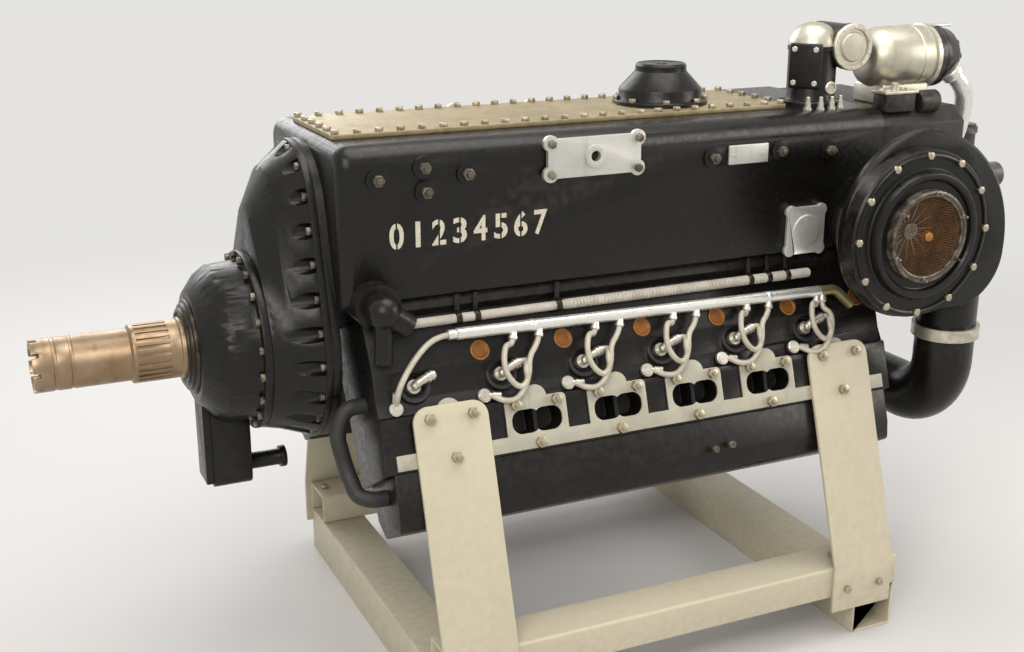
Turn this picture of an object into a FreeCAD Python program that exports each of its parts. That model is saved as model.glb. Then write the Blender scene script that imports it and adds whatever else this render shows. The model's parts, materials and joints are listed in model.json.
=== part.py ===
# Inverted V twelve-cylinder aircraft engine, bolted to its steel display stand, in millimetres.
# +X runs from the propeller end to the rear, -Y is the port side, +Z is up, the floor is z = 0.
import FreeCAD, Part
import math
import os

import Sketcher

Vector = FreeCAD.Vector
Rotation = FreeCAD.Rotation
Placement = FreeCAD.Placement
ORIGIN = Vector(0, 0, 0)
ALONG_X = Vector(1, 0, 0)
ALONG_Y = Vector(0, 1, 0)
ALONG_Z = Vector(0, 0, 1)

doc = FreeCAD.newDocument("inverted_v_engine")
sheet = doc.addObject("Spreadsheet::Sheet", "dim")
scratch = doc.addObject("Spreadsheet::Sheet", "scratch")

# Driving sizes: name, value, what it is
DRIVING = (
    ("bankTilt", 30, "each bank leans out from straight down, degrees"),
    ("cylinderPitch", 172, "cylinder to cylinder along a bank"),
    ("cylinderBore", 154, "inside of a liner"),
    ("pistonStroke", 160, "twice the crank throw"),
    ("rodLength", 255, "connecting rod, eye to eye"),
    ("pistonHeight", 85, "crown to skirt"),
    ("compressionHeight", 60, "gudgeon pin to crown"),
    ("pistonWall", 12, "piston skirt and crown"),
    ("gudgeonRadius", 16, "gudgeon pin"),
    ("crownGap", 10, "crown at the top of its stroke to the chamber roof"),
    ("linerWall", 5, "cylinder liner"),
    ("linerStart", 160, "liner's open end, from the crank axis"),
    ("slideGap", 0.08, "radial running clearance of a piston"),
    ("shaftGap", 0.05, "radial running clearance of a journal"),
    ("fitGap", 0.3, "clearance between parts that only pass each other"),
    ("shaftHeight", 678.6, "propeller shaft axis above the floor"),
    ("gearModule", 5, "reduction gear tooth size"),
    ("pinionTeeth", 35, "teeth on the crankshaft pinion"),
    ("wheelTeeth", 59, "teeth on the propeller shaft wheel"),
    ("gearWidth", 44, "reduction gear face"),
    ("gearFront", -668, "front face of both reduction gears"),
    ("backlash", 0.4, "taken off each tooth"),
    ("caseFront", -598, "crankcase front wall"),
    ("caseRear", 575, "crankcase rear wall"),
    ("caseHalf", 222, "crankcase half width"),
    ("caseWall", 12, "crankcase wall"),
    ("caseShoulder", 40, "rounding of the crankcase's top edges"),
    ("caseCorner", 26, "rounding of the crankcase's front corners"),
    ("keelHalf", 12, "half width of the crankcase keel"),
    ("deckDistance", 220, "crank axis to the cylinder block's seat"),
    ("webThickness", 20, "bearing web and cap along the shaft"),
    ("journalRadius", 50, "crankshaft main journal"),
    ("pinRadius", 42, "crankpin"),
    ("cheekThickness", 26, "crank cheek"),
    ("shellWall", 8, "bearing shell"),
    ("capHeight", 74, "bearing cap above the crank axis"),
    ("capHalf", 84, "bearing cap half width"),
    ("coverFront", -578, "front edge of the top plate"),
    ("coverRear", 398, "rear edge of the top plate"),
    ("coverHalf", 127, "top plate half width"),
    ("coverThickness", 9, "top plate"),
    ("coverBolts", 24, "bolts along one edge of the top plate"),
    ("boltEdge", 9, "bolt to plate edge"),
    ("smallHex", 14, "across the flats of a small bolt head"),
    ("smallHead", 8, "height of a small bolt head"),
    ("largeHex", 19, "across the flats of a large nut"),
    ("largeHead", 11, "height of a large nut"),
    ("studRadius", 5, "stud"),
    ("domeX", 170, "breather dome"),
    ("domeRadius", 98, "breather dome's flange"),
    ("domeSideRadius", 86, "breather dome's upright side"),
    ("domeTopRadius", 50, "breather dome's top"),
    ("domeHeight", 82, "breather dome"),
    ("domeFlange", 8, "breather dome's flange"),
    ("blockFront", -560, "front of the cylinder blocks"),
    ("blockRear", 560, "rear of the cylinder blocks"),
    ("flangeOuter", 117, "block flange, outboard"),
    ("flangeInner", 100, "block flange, inboard"),
    ("flangeDepth", 20, "block flange"),
    ("blockOuter", 97, "outboard face of a block"),
    ("blockInner", 95, "inboard face of a block"),
    ("valleyFace", 86, "outboard face between plugs and ports"),
    ("upperFaceEnd", 345, "end of the outboard face's upper band"),
    ("valleyStart", 395, "start of the valley"),
    ("valleyEnd", 424, "end of the valley"),
    ("headDistance", 525, "crank axis to the lower end of a block"),
    ("portDistance", 470, "crank axis to the exhaust ports along the bank"),
    ("portOffset", 84, "bank plane to the exhaust port face"),
    ("portFaceTilt", 18, "exhaust port face from upright, degrees"),
    ("portWidth", 58, "one oval of an exhaust port"),
    ("portHeight", 45, "exhaust port"),
    ("portSpread", 22.5, "centre of an oval beside the port's centre"),
    ("portCorner", 20, "rounding of an oval"),
    ("portSeptum", 8, "rib between the two ovals, set back"),
    ("portDepth", 46, "how far an exhaust port goes in"),
    ("gasketThickness", 4, "exhaust gasket plate"),
    ("gasketWidth", 126, "gasket plate round one port"),
    ("gasketRise", 44, "gasket plate above the port centre"),
    ("gasketDrop", 52, "gasket plate below the port centre"),
    ("gasketStrip", 28, "strip that joins the gasket plates"),
    ("gasketLobe", 24, "radius of the lobe over each port"),
    ("studSpan", 84, "upper exhaust studs, side to side"),
    ("studRise", 33, "upper exhaust studs over the port centre"),
    ("studDrop", 42, "lower exhaust stud under the port centre"),
    ("camDistance", 560, "crank axis to a camshaft"),
    ("camRadius", 16, "camshaft between its lobes"),
    ("camJournal", 22, "camshaft journal"),
    ("camLift", 10, "cam lobe over its base circle"),
    ("pedestalHalf", 34, "half width of a camshaft pedestal"),
    ("camCoverHalf", 82, "camshaft cover's inboard half width"),
    ("camCoverStep", 1.5, "cover inside the line of the exhaust face"),
    ("camCoverKnee", 592, "where a camshaft cover turns in"),
    ("camCoverEnd", 628, "lower face of a camshaft cover"),
    ("camCoverFoot", 54, "half width of its lower face"),
    ("camCoverWall", 7, "camshaft cover"),
    ("camCoverLip", 14, "cover set back from the block's ends"),
    ("eyeletDistance", 412, "lower spark plugs from the crank axis"),
    ("eyeletShift", -97, "lower spark plug ahead of its port"),
    ("wellDistance", 375, "upper spark plugs from the crank axis"),
    ("wellShift", -54, "upper spark plug ahead of its port"),
    ("wellRadius", 23, "well round an upper spark plug"),
    ("wellFloor", 78, "bank plane to the floor of a well"),
    ("plugRadius", 10, "spark plug"),
    ("plugReach", 14, "lower spark plug proud of its face"),
    ("corePlugDistance", 327, "core plugs from the crank axis"),
    ("corePlugShift", 83, "core plug behind its port"),
    ("corePlugRadius", 18, "core plug"),
    ("corePlugHeight", 3, "core plug proud of its face"),
    ("housingBack", -612, "joint face of the reduction housing"),
    ("housingLip", 14, "reduction housing flange"),
    ("housingLow", 202, "flange radius round the propeller shaft"),
    ("housingHigh", 140, "flange radius round the crankshaft"),
    ("housingKnee", -680, "where the housing turns in over the gears"),
    ("housingKneeLow", 178, "housing round the wheel there"),
    ("housingKneeHigh", 92, "housing round the pinion there"),
    ("housingFace", -714, "front face of the housing"),
    ("housingFaceLow", 170, "front face round the propeller shaft"),
    ("housingFaceHigh", 50, "front face at its top"),
    ("housingFaceDrop", 28, "top of the front face under the crank axis"),
    ("housingWall", 9, "reduction housing"),
    ("housingBolts", 24, "bolts round the reduction housing"),
    ("pocketRadius", 15, "scallop for a housing bolt"),
    ("pocketInset", 12, "scallop centre inside the flange edge"),
    ("noseRadius", 170, "nose cover at its joint"),
    ("noseFlange", -729, "front of the nose cover's flange"),
    ("noseDrumRadius", 153, "nose cover in front of its flange"),
    ("noseShoulder", -784, "where the nose cover starts to round"),
    ("noseShoulderRadius", 149, "nose cover there"),
    ("noseRim", -806, "second turn of the nose cover"),
    ("noseRimRadius", 134, "nose cover there"),
    ("noseFront", -829, "front of the nose cover"),
    ("noseFrontRadius", 104, "nose cover's front face"),
    ("noseBolts", 20, "bolts round the nose cover"),
    ("sealFront", -846, "front of the shaft seal ring"),
    ("sealRadius", 90, "shaft seal ring"),
    ("shaftTip", -1111, "propeller shaft's front end"),
    ("shaftTipRadius", 48.5, "propeller shaft's plain end"),
    ("shaftSplineRadius", 54.5, "over the shaft splines"),
    ("shaftSplineFront", -941, "front of the splines"),
    ("shaftSplineRear", -857, "rear of the splines"),
    ("splineCount", 24, "splines"),
    ("splineDepth", 4, "splines"),
    ("shaftSeatRadius", 58, "shaft in its front bearing"),
    ("shaftRearRadius", 45, "shaft in its rear bearing"),
    ("shaftRear", -582, "propeller shaft's rear end"),
    ("shaftHole", 30, "hole through the shaft"),
    ("castleSlots", 8, "slots in the shaft's front end"),
    ("castleDepth", 14, "slots in the shaft's front end"),
    ("frontBearing", -786, "front of the nose bearing"),
    ("frontBearingWidth", 40, "nose bearing"),
    ("bearingWall", 18, "nose and rear shaft bearings"),
    ("superX", 540, "supercharger axis"),
    ("scrollLeft", 378, "front side of the scroll"),
    ("scrollRight", 799, "rear side of the scroll"),
    ("scrollRadius", 180, "scroll at its start"),
    ("scrollHeart", 576, "centre of the scroll's upper arcs"),
    ("scrollLastRadius", 120, "scroll's turn towards its outlet"),
    ("scrollRound", 8, "bevel of the scroll's front edge"),
    ("scrollKnee", -346, "where the scroll starts to taper towards its back"),
    ("scrollTaper", 48, "taper of the scroll's back"),
    ("superFace", -368, "front of the casing"),
    ("superBack", -276, "back of the casing"),
    ("superNeck", 98, "neck between casing and crankcase"),
    ("superWall", 13, "supercharger casing"),
    ("superMouth", 160, "hole in the casing's front"),
    ("superRing", 169, "outer edge of the front cover"),
    ("superRingFace", -402, "bolt face of the front cover"),
    ("superCoverFace", -420, "raised rim of the front cover"),
    ("superCoverRim", 122, "raised rim of the front cover"),
    ("superBolts", 12, "bolts round the front cover"),
    ("superBoltCircle", 158, "their circle's radius"),
    ("intakeHole", 80, "air intake"),
    ("intakeRing", 93, "intake ring"),
    ("intakeRingFace", -426, "front of the intake ring"),
    ("intakeStuds", 6, "studs on the intake ring"),
    ("intakeStudCircle", 86, "their circle's radius"),
    ("intakeStudReach", 14, "stud proud of the ring"),
    ("impellerRadius", 104, "supercharger impeller"),
    ("impellerBlades", 16, "its blades"),
    ("impellerHub", 34, "its hub"),
    ("impellerShaft", 20, "its shaft"),
    ("outletX", 715, "supercharger outlet"),
    ("outletY", -305, "supercharger outlet"),
    ("outletRadius", 62, "supercharger outlet"),
    ("outletWall", 6, "outlet pipe"),
    ("outletBend", 110, "outlet pipe's bend"),
    ("clampWidth", 26, "outlet clamp"),
    ("clampWall", 8, "outlet clamp"),
    ("manifoldRadius", 58, "intake manifold"),
    ("manifoldFront", -470, "intake manifold"),
    ("manifoldInlet", 75, "manifold's inlet flange from the centre plane"),
    ("runnerDistance", 425, "intake runners along the bank"),
    ("runnerRadius", 24, "intake runner"),
    ("pumpHalf", 36, "injection pump"),
    ("pumpFront", -250, "injection pump"),
    ("pumpRear", 230, "injection pump"),
    ("auxRear", 800, "rear of the accessory case"),
    ("auxCorner", 60, "its chamfered corners"),
    ("starterRadius", 92, "starter motor"),
    ("starterRear", 1010, "starter motor's body"),
    ("tailEnd", 1111, "hand turning dog, the engine's rearmost point"),
    ("tailRadius", 30, "hand turning dog"),
    ("ventRadius", 24, "vent cap on the starter"),
    ("ventX", 960, "vent cap"),
    ("magnetoY", -100, "magneto's axis"),
    ("magnetoRadius", 66, "magneto's body"),
    ("magnetoFront", 606, "magneto's body"),
    ("magnetoRear", 766, "magneto's body"),
    ("magnetoCapEnd", 842, "magneto's end cap"),
    ("magnetoPipe", 20, "pipe from the magneto's cap"),
    ("conduitRadius", 11, "ignition conduit"),
    ("conduitY", -256, "ignition conduit"),
    ("conduitFront", -397, "ignition conduit"),
    ("conduitRear", 432, "ignition conduit's bend"),
    ("leadRadius", 5, "plug lead"),
    ("wrapRadius", 10, "wrapped oil pipe"),
    ("wrapY", -231.6, "wrapped oil pipe"),
    ("wrapFront", -480, "wrapped oil pipe"),
    ("wrapRear", 400, "wrapped oil pipe"),
    ("controlX", 475, "control tower"),
    ("controlY", -100, "control tower"),
    ("controlRadius", 50, "control tower"),
    ("capsuleX", 534, "control capsule"),
    ("capsuleRadius", 48, "control capsule"),
    ("capsuleFace", -151, "control capsule's joint"),
    ("padThickness", 10, "engine bearer plate"),
    ("padBoss", 7, "raised seat of a bearer plate"),
    ("bearerSocket", 10, "hole for the engine bearer's pin"),
    ("padLeft", -204, "bearer plate"),
    ("padRight", -10, "bearer plate"),
    ("sideCoverX", 388, "square side cover"),
    ("sideCoverWidth", 100, "square side cover"),
    ("sideCoverHeight", 106, "square side cover"),
    ("sideCoverThickness", 9, "square side cover"),
    ("bossRadius", 20, "round boss on the crankcase side"),
    ("bossHeight", 8, "round boss on the crankcase side"),
    ("elbowX", -543, "coolant elbow"),
    ("elbowRadius", 42, "coolant elbow's flange"),
    ("elbowReach", 284, "coolant elbow's outer end from the centre plane"),
    ("oilPumpFront", -822, "oil pump under the nose"),
    ("oilPumpRear", -735, "oil pump under the nose"),
    ("oilPumpHalf", 42, "oil pump"),
    ("oilStubRadius", 16, "oil pump's pipe stub"),
    ("oilStubEnd", -660, "oil pump's pipe stub"),
    ("hoseRadius", 15, "oil hose"),
    ("standTube", 100, "side of a square cross tube"),
    ("standTubeWall", 5, "cross tube"),
    ("standInset", 3.5, "end of a cross tube behind the rail's outer face"),
    ("frontTubeX", -441, "front cross tube"),
    ("rearTubeX", 472, "rear cross tube"),
    ("legBend", 166.788, "height at which a leg plate bends outward to its port"),
    ("railWidth", 97, "side rail"),
    ("railHeight", 66, "side rail"),
    ("railWall", 6, "side rail"),
    ("railFront", -491, "side rail"),
    ("railRear", 522, "side rail"),
    ("legWidth", 146, "leg plate"),
    ("legThickness", 8, "leg plate"),
    ("legRise", 56, "leg plate above the port centre"),
    ("legFoot", 68, "lower edge of a leg plate"),
    ("legCorner", 30, "rounded top corners of a leg plate"),
    ("footBoltZ", 118, "lower bolts of a leg plate"),
    ("footBoltSpan", 82, "lower bolts, side to side"),
)

# Heights that go up and down with the propeller shaft: name, distance above it, what it is
HEIGHTS = (
    ("caseTop", 387.4, "crankcase top face"),
    ("keelBottom", -28.6, "underside of the crankcase keel"),
    ("superZ", 164.4, "supercharger axis"),
    ("scrollTop", 366.4, "top of the scroll"),
    ("scrollBottom", -16.6, "bottom of the scroll"),
    ("superRelief", 115.4, "casing and neck clear the bank below this height"),
    ("outletEnd", -78.6, "joint of the outlet"),
    ("manifoldZ", -253.6, "intake manifold's axis"),
    ("pumpTop", -68.6, "injection pump body"),
    ("pumpBottom", -138.6, "injection pump body"),
    ("auxTop", 381.4, "top of the accessory case"),
    ("auxBottom", 11.4, "bottom of the accessory case"),
    ("starterZ", 171.4, "starter motor's axis"),
    ("ventTop", 309.4, "vent cap"),
    ("magnetoZ", 476.4, "magneto's axis"),
    ("conduitFrontZ", 40.4, "its front end"),
    ("conduitRearZ", 26.4, "its bend"),
    ("wrapZ", 62.4, "wrapped oil pipe"),
    ("controlTop", 557.4, "control tower's dome"),
    ("capsuleZ", 508.4, "control capsule"),
    ("padLow", 306.4, "bearer plate"),
    ("padHigh", 379.4, "bearer plate"),
    ("sideCoverZ", 152.4, "square side cover"),
    ("elbowZ", 107.4, "coolant elbow"),
    ("oilPumpBottom", -279.6, "oil pump"),
    ("oilPumpTop", -106.6, "oil pump's front plate"),
)

# Sizes that follow from the driving ones
DERIVED = (
    ("throw", "pistonStroke / 2"),
    ("crankHeight", "shaftHeight + gearModule * (pinionTeeth + wheelTeeth) / 2"),
    ("linerRadius", "cylinderBore / 2 + linerWall"),
    ("roofDistance", "throw + rodLength + compressionHeight + crownGap"),
    ("firstCylinder", "-2.5 * cylinderPitch"),
    ("portCant", "bankTilt - portFaceTilt"),
    ("portTopFace", "portOffset + (portDistance - valleyEnd - 4) * tan(portCant)"),
    ("portBottomFace", "portOffset - (headDistance - portDistance) * tan(portCant)"),
    ("camOuterTop", "portBottomFace - camCoverStep"),
    ("camOuterKnee", "portOffset - (camCoverKnee - portDistance) * tan(portCant) - camCoverStep"),
    ("portY", "-(portDistance * sin(bankTilt) + portOffset * cos(bankTilt))"),
    ("portZ", "crankHeight - portDistance * cos(bankTilt) + portOffset * sin(bankTilt)"),
    ("gasketY", "portY - gasketThickness * cos(portFaceTilt)"),
    ("gasketZ", "portZ + gasketThickness * sin(portFaceTilt)"),
    ("legFaceY", "gasketY - legThickness * cos(portFaceTilt)"),
    ("legFaceZ", "gasketZ + legThickness * sin(portFaceTilt)"),
    ("railOuter", "(gasketZ - legBend) * tan(portFaceTilt) - gasketY"),
    ("legBendOuter", "legFaceZ - (railOuter + legThickness + legFaceY) / tan(portFaceTilt)"),
    ("deckSideZ", "crankHeight - deckDistance / cos(bankTilt) + caseHalf * tan(bankTilt)"),
    ("deckKeelZ", "crankHeight - deckDistance / cos(bankTilt) + keelHalf * tan(bankTilt)"),
    ("innerDeckZ", "crankHeight - (deckDistance - caseWall) / cos(bankTilt)"),
    ("innerSide", "caseHalf - caseWall"),
    ("innerSideZ", "innerDeckZ + innerSide * tan(bankTilt)"),
    ("webBore", "journalRadius + shaftGap + shellWall"),
    ("gearRear", "gearFront + gearWidth"),
    ("railTop", "standTube + railHeight"),
    ("standHalf", "railOuter - standInset"),
)


def fillSheet():
    row = 1
    for name, value, note in DRIVING:
        sheet.set(f"A{row}", name)
        sheet.set(f"B{row}", str(value))
        sheet.setAlias(f"B{row}", name)
        sheet.set(f"C{row}", note)
        row += 1
    for name, rise, note in HEIGHTS:
        sheet.set(f"A{row}", name)
        sheet.set(f"B{row}", f"=shaftHeight + {rise}")
        sheet.setAlias(f"B{row}", name)
        sheet.set(f"C{row}", note)
        row += 1
    for name, formula in DERIVED:
        sheet.set(f"A{row}", name)
        sheet.set(f"B{row}", "=" + formula)
        sheet.setAlias(f"B{row}", name)
        row += 1
    doc.recompute()


fillSheet()
size = {name: float(sheet.get(name)) for name in [line[0] for line in DRIVING + HEIGHTS + DERIVED]}


def number(expression):
    # What an expression on the sheet comes to
    scratch.set("A1", f"={expression}")
    scratch.recompute()
    return float(scratch.get("A1"))


def bind(thing, sizes):
    for target, expression in sizes.items():
        thing.setExpression(target, expression)
    return thing


def shift(thing, x="0", y="0", z="0"):
    return bind(thing, {"Placement.Base.x": x, "Placement.Base.y": y, "Placement.Base.z": z})


def box(name, length, width, height, x, y, z):
    solid = doc.addObject("Part::Box", name)
    bind(solid, {"Length": length, "Width": width, "Height": height})
    return shift(solid, x, y, z)


TURNS = {
    "x": Rotation(ALONG_Y, 90),
    "y": Rotation(ALONG_X, -90),
    "z": Rotation(),
}


def cylinder(name, radius, height, x, y, z, axis="z"):
    solid = doc.addObject("Part::Cylinder", name)
    solid.Placement = Placement(ORIGIN, TURNS[axis])
    bind(solid, {"Radius": radius, "Height": height})
    return shift(solid, x, y, z)


def fuse(name, pieces):
    joined = doc.addObject("Part::MultiFuse", name)
    joined.Shapes = pieces
    return joined


def cut(name, base, tools):
    if len(tools) > 1:
        tool = fuse(name + "_tools", tools)
    else:
        tool = tools[0]
    result = doc.addObject("Part::Cut", name)
    result.Base = base
    result.Tool = tool
    return result


def together(name, pieces):
    group = doc.addObject("Part::Compound", name)
    group.Links = pieces
    return group


def shaped(name, shape):
    thing = doc.addObject("Part::Feature", name)
    thing.Shape = shape
    return thing


def mirrored(name, source):
    other = doc.addObject("Part::Mirroring", name)
    other.Source = source
    other.Base = ORIGIN
    other.Normal = ALONG_Y
    return other


def originPlane(body, role):
    return [plane for plane in body.Origin.OriginFeatures if plane.Role == role][0]


def sketchOn(body, role, offset):
    sketch = body.newObject("Sketcher::SketchObject", body.Name + "_sketch")
    sketch.AttachmentSupport = (originPlane(body, role), [""])
    sketch.MapMode = "FlatFace"
    sketch.setExpression("AttachmentOffset.Base.z", offset)
    return sketch


def hold(sketch, kind, line, end, expression, value):
    # One coordinate of a point is held by the sheet, or by the axis it lies on
    if abs(value) < 1e-7:
        axis = -2 if kind == "DistanceX" else -1
        sketch.addConstraint(Sketcher.Constraint("PointOnObject", line, end, axis))
    else:
        index = sketch.addConstraint(Sketcher.Constraint(kind, -1, 1, line, end, value))
        sketch.setExpression(f"Constraints[{index}]", expression)


def outline(body, role, points, offset="0"):
    sketch = sketchOn(body, role, offset)
    values = [(number(u), number(v)) for u, v in points]
    count = len(points)
    for index, (u, v) in enumerate(values):
        after = values[(index + 1) % count]
        sketch.addGeometry(Part.LineSegment(Vector(u, v, 0), Vector(after[0], after[1], 0)))
    for index in range(count):
        sketch.addConstraint(Sketcher.Constraint("Coincident", index, 2, (index + 1) % count, 1))
    for index, (u, v) in enumerate(values):
        hold(sketch, "DistanceX", index, 1, points[index][0], u)
        hold(sketch, "DistanceY", index, 1, points[index][1], v)
    return sketch


def ringSketch(body, role, u, v, radius, offset="0"):
    sketch = sketchOn(body, role, offset)
    centre = Vector(number(u), number(v), 0)
    sketch.addGeometry(Part.Circle(centre, ALONG_Z, number(radius)))
    hold(sketch, "DistanceX", 0, 3, u, centre.x)
    hold(sketch, "DistanceY", 0, 3, v, centre.y)
    index = sketch.addConstraint(Sketcher.Constraint("Radius", 0, number(radius)))
    sketch.setExpression(f"Constraints[{index}]", radius)
    return sketch


def newBody(name):
    return doc.addObject("PartDesign::Body", name)


def pad(body, sketch, length):
    feature = body.newObject("PartDesign::Pad", body.Name + "_pad")
    feature.Profile = sketch
    feature.setExpression("Length", length)
    return feature


def pocket(body, sketch, length):
    feature = body.newObject("PartDesign::Pocket", body.Name + "_pocket")
    feature.Profile = sketch
    feature.setExpression("Length", length)
    return feature


def revolve(body, sketch, axis):
    feature = body.newObject("PartDesign::Revolution", body.Name + "_turned")
    feature.Profile = sketch
    feature.ReferenceAxis = (sketch, [axis])
    feature.Angle = 360
    return feature


def row(body, feature, axis, length, count):
    pattern = body.newObject("PartDesign::LinearPattern", body.Name + "_row")
    pattern.Originals = [feature]
    direction = [line for line in body.Origin.OriginFeatures if line.Role == axis][0]
    pattern.Direction = (direction, [""])
    pattern.setExpression("Length", length)
    pattern.setExpression("Occurrences", count)
    body.Tip = pattern
    return pattern


def circleOf(body, feature, axis, count):
    pattern = body.newObject("PartDesign::PolarPattern", body.Name + "_circle")
    pattern.Originals = [feature]
    direction = [line for line in body.Origin.OriginFeatures if line.Role == axis][0]
    pattern.Axis = (direction, [""])
    pattern.Angle = 360
    pattern.setExpression("Occurrences", count)
    body.Tip = pattern
    return pattern


def soften(body, radius, chosen):
    # Rounds the edges that the test picks on the body as it stands
    doc.recompute()
    base = body.Tip
    names = [f"Edge{index + 1}" for index, edge in enumerate(base.Shape.Edges) if chosen(edge)]
    fillet = body.newObject("PartDesign::Fillet", body.Name + "_fillet")
    fillet.Base = (base, names)
    fillet.setExpression("Radius", radius)
    return fillet


def runs(edge, direction):
    # A straight edge along a direction
    ends = [vertex.Point for vertex in edge.Vertexes]
    if len(ends) < 2:
        return False
    span = ends[1] - ends[0]
    return span.Length > 1 and abs(span.dot(direction)) > 0.999 * span.Length


def bankPlacement():
    return Placement(Vector(0, 0, size["crankHeight"]), Rotation(ALONG_X, -size["bankTilt"]))


def leanOut(thing):
    # Stands a piece modelled about the crank axis into the port bank
    thing.Placement = bankPlacement()
    bind(thing, {"Placement.Base.z": "dim.crankHeight", "Placement.Rotation.Angle": "-dim.bankTilt"})
    return thing


def inBank(shape):
    moved = shape.copy()
    moved.Placement = bankPlacement().multiply(moved.Placement)
    return moved


def bankPoint(x, distance, offset):
    # A point of the port bank: along the row, away from the crank axis, outboard
    return bankPlacement().multVec(Vector(x, -offset, -distance))


def flip(shape):
    return shape.mirror(ORIGIN, ALONG_Y)


def bothSides(shapes):
    return Part.makeCompound(shapes + [flip(shape) for shape in shapes])


def largest(shape):
    return sorted(shape.Solids, key=lambda solid: solid.Volume)[-1]


def portSpots():
    return [size["firstCylinder"] + number_ * size["cylinderPitch"] for number_ in range(6)]


def portFrame(x):
    # Placement on the exhaust port face: its Z points out of the port, its Y up the face
    return Placement(Vector(x, size["portY"], size["portZ"]), Rotation(ALONG_X, 90 - size["portFaceTilt"]))


def hexHead(across, height, stud=0.0, reach=0.0):
    corner = across / math.sqrt(3)
    points = [Vector(corner * math.cos(math.radians(60 * k)), corner * math.sin(math.radians(60 * k)), 0)
              for k in range(7)]
    head = Part.Face(Part.makePolygon(points)).extrude(Vector(0, 0, height))
    if reach > 0:
        head = head.fuse(Part.makeCylinder(stud, reach, Vector(0, 0, height)))
    return head


def seated(shape, spot, direction, turn=0.0):
    # Stands a fastener on a spot with its head pointing along a direction
    placed = shape.copy()
    placed.Placement = Placement(spot, Rotation(ALONG_Z, direction)).multiply(
        Placement(ORIGIN, Rotation(ALONG_Z, turn)))
    return placed


def smallBolt():
    return hexHead(size["smallHex"], size["smallHead"])


def largeNut():
    return hexHead(size["largeHex"], size["largeHead"], size["studRadius"], 5)


def eggWire(x, low, high, highDrop=0.0):
    # Two circles, round the propeller shaft and the crankshaft, joined by their tangents
    lowZ = size["shaftHeight"]
    highZ = size["crankHeight"] - highDrop
    lean = math.asin((low - high) / (highZ - lowZ))
    side = Vector(0, math.cos(lean), math.sin(lean))
    other = Vector(0, -side.y, side.z)
    lowCentre = Vector(x, 0, lowZ)
    highCentre = Vector(x, 0, highZ)
    under = lowCentre - ALONG_Z * low
    top = highCentre + ALONG_Z * high
    edges = [
        Part.Arc(lowCentre + other * low, under, lowCentre + side * low).toShape(),
        Part.makeLine(lowCentre + side * low, highCentre + side * high),
        Part.Arc(highCentre + side * high, top, highCentre + other * high).toShape(),
        Part.makeLine(highCentre + other * high, lowCentre + other * low),
    ]
    return Part.Wire(edges)


def eggBetween(first, second):
    return Part.makeLoft([first, second], True, True)


def tube(points, radius, smallest):
    # A round cord along straight runs joined by tangent arcs
    route = [Vector(*point) for point in points]
    edges = []
    start = route[0]
    for before, corner, after in zip(route, route[1:], route[2:]):
        inward = (before - corner).normalize()
        outward = (after - corner).normalize()
        turn = math.pi - inward.getAngle(outward)
        run = min((before - corner).Length, (after - corner).Length)
        bend = max(0.45 * run / math.tan(turn / 2), smallest)
        trim = bend * math.tan(turn / 2)
        first = corner + inward * trim
        last = corner + outward * trim
        middle = (inward + outward).normalize()
        heart = corner + middle * math.hypot(bend, trim)
        if (first - start).Length > 1e-4:
            edges.append(Part.LineSegment(start, first).toShape())
        edges.append(Part.Arc(first, heart - middle * bend, last).toShape())
        start = last
    edges.append(Part.LineSegment(start, route[-1]).toShape())
    path = Part.Wire(edges)
    ring = Part.Wire([Part.makeCircle(radius, route[0], route[1] - route[0])])
    solid = path.makePipeShell([ring], True, False)
    return solid


nodes = {}


def keep(node, thing):
    thing.Label = node
    nodes[node] = thing
    return thing


# Stand: two square cross tubes
def crossTube(name, x):
    outer = box(name + "_outer", "dim.standTube", "2 * dim.standHalf", "dim.standTube",
                f"{x} - dim.standTube / 2", "-dim.standHalf", "0")
    inner = box(name + "_inner", "dim.standTube - 2 * dim.standTubeWall", "2 * dim.standHalf + 2",
                "dim.standTube - 2 * dim.standTubeWall", f"{x} - dim.standTube / 2 + dim.standTubeWall",
                "-dim.standHalf - 1", "dim.standTubeWall")
    return cut(name, outer, [inner])


keep("stand_cross_tubes", together("cross_tubes", [
    crossTube("front_tube", "dim.frontTubeX"), crossTube("rear_tube", "dim.rearTubeX")]))


# Stand: two folded channel rails that lie on the cross tubes, open side down
def sideRail():
    body = newBody("port_rail")
    far = "-dim.railOuter"
    near = "-dim.railOuter + dim.railWidth"
    sketch = outline(body, "YZ_Plane", [
        (far, "dim.standTube"),
        (far, "dim.railTop"),
        (near, "dim.railTop"),
        (near, "dim.standTube"),
        (near + " - dim.railWall", "dim.standTube"),
        (near + " - dim.railWall", "dim.railTop - dim.railWall"),
        (far + " + dim.railWall", "dim.railTop - dim.railWall"),
        (far + " + dim.railWall", "dim.standTube"),
    ], "dim.railFront")
    pad(body, sketch, "dim.railRear - dim.railFront")
    top = size["railTop"]
    soften(body, "dim.railWall", lambda edge: runs(edge, ALONG_X) and abs(edge.BoundBox.ZMax - top) < 0.01)
    return body


portRail = sideRail()
keep("stand_rails", together("rails", [portRail, mirrored("starboard_rail", portRail)]))


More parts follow.
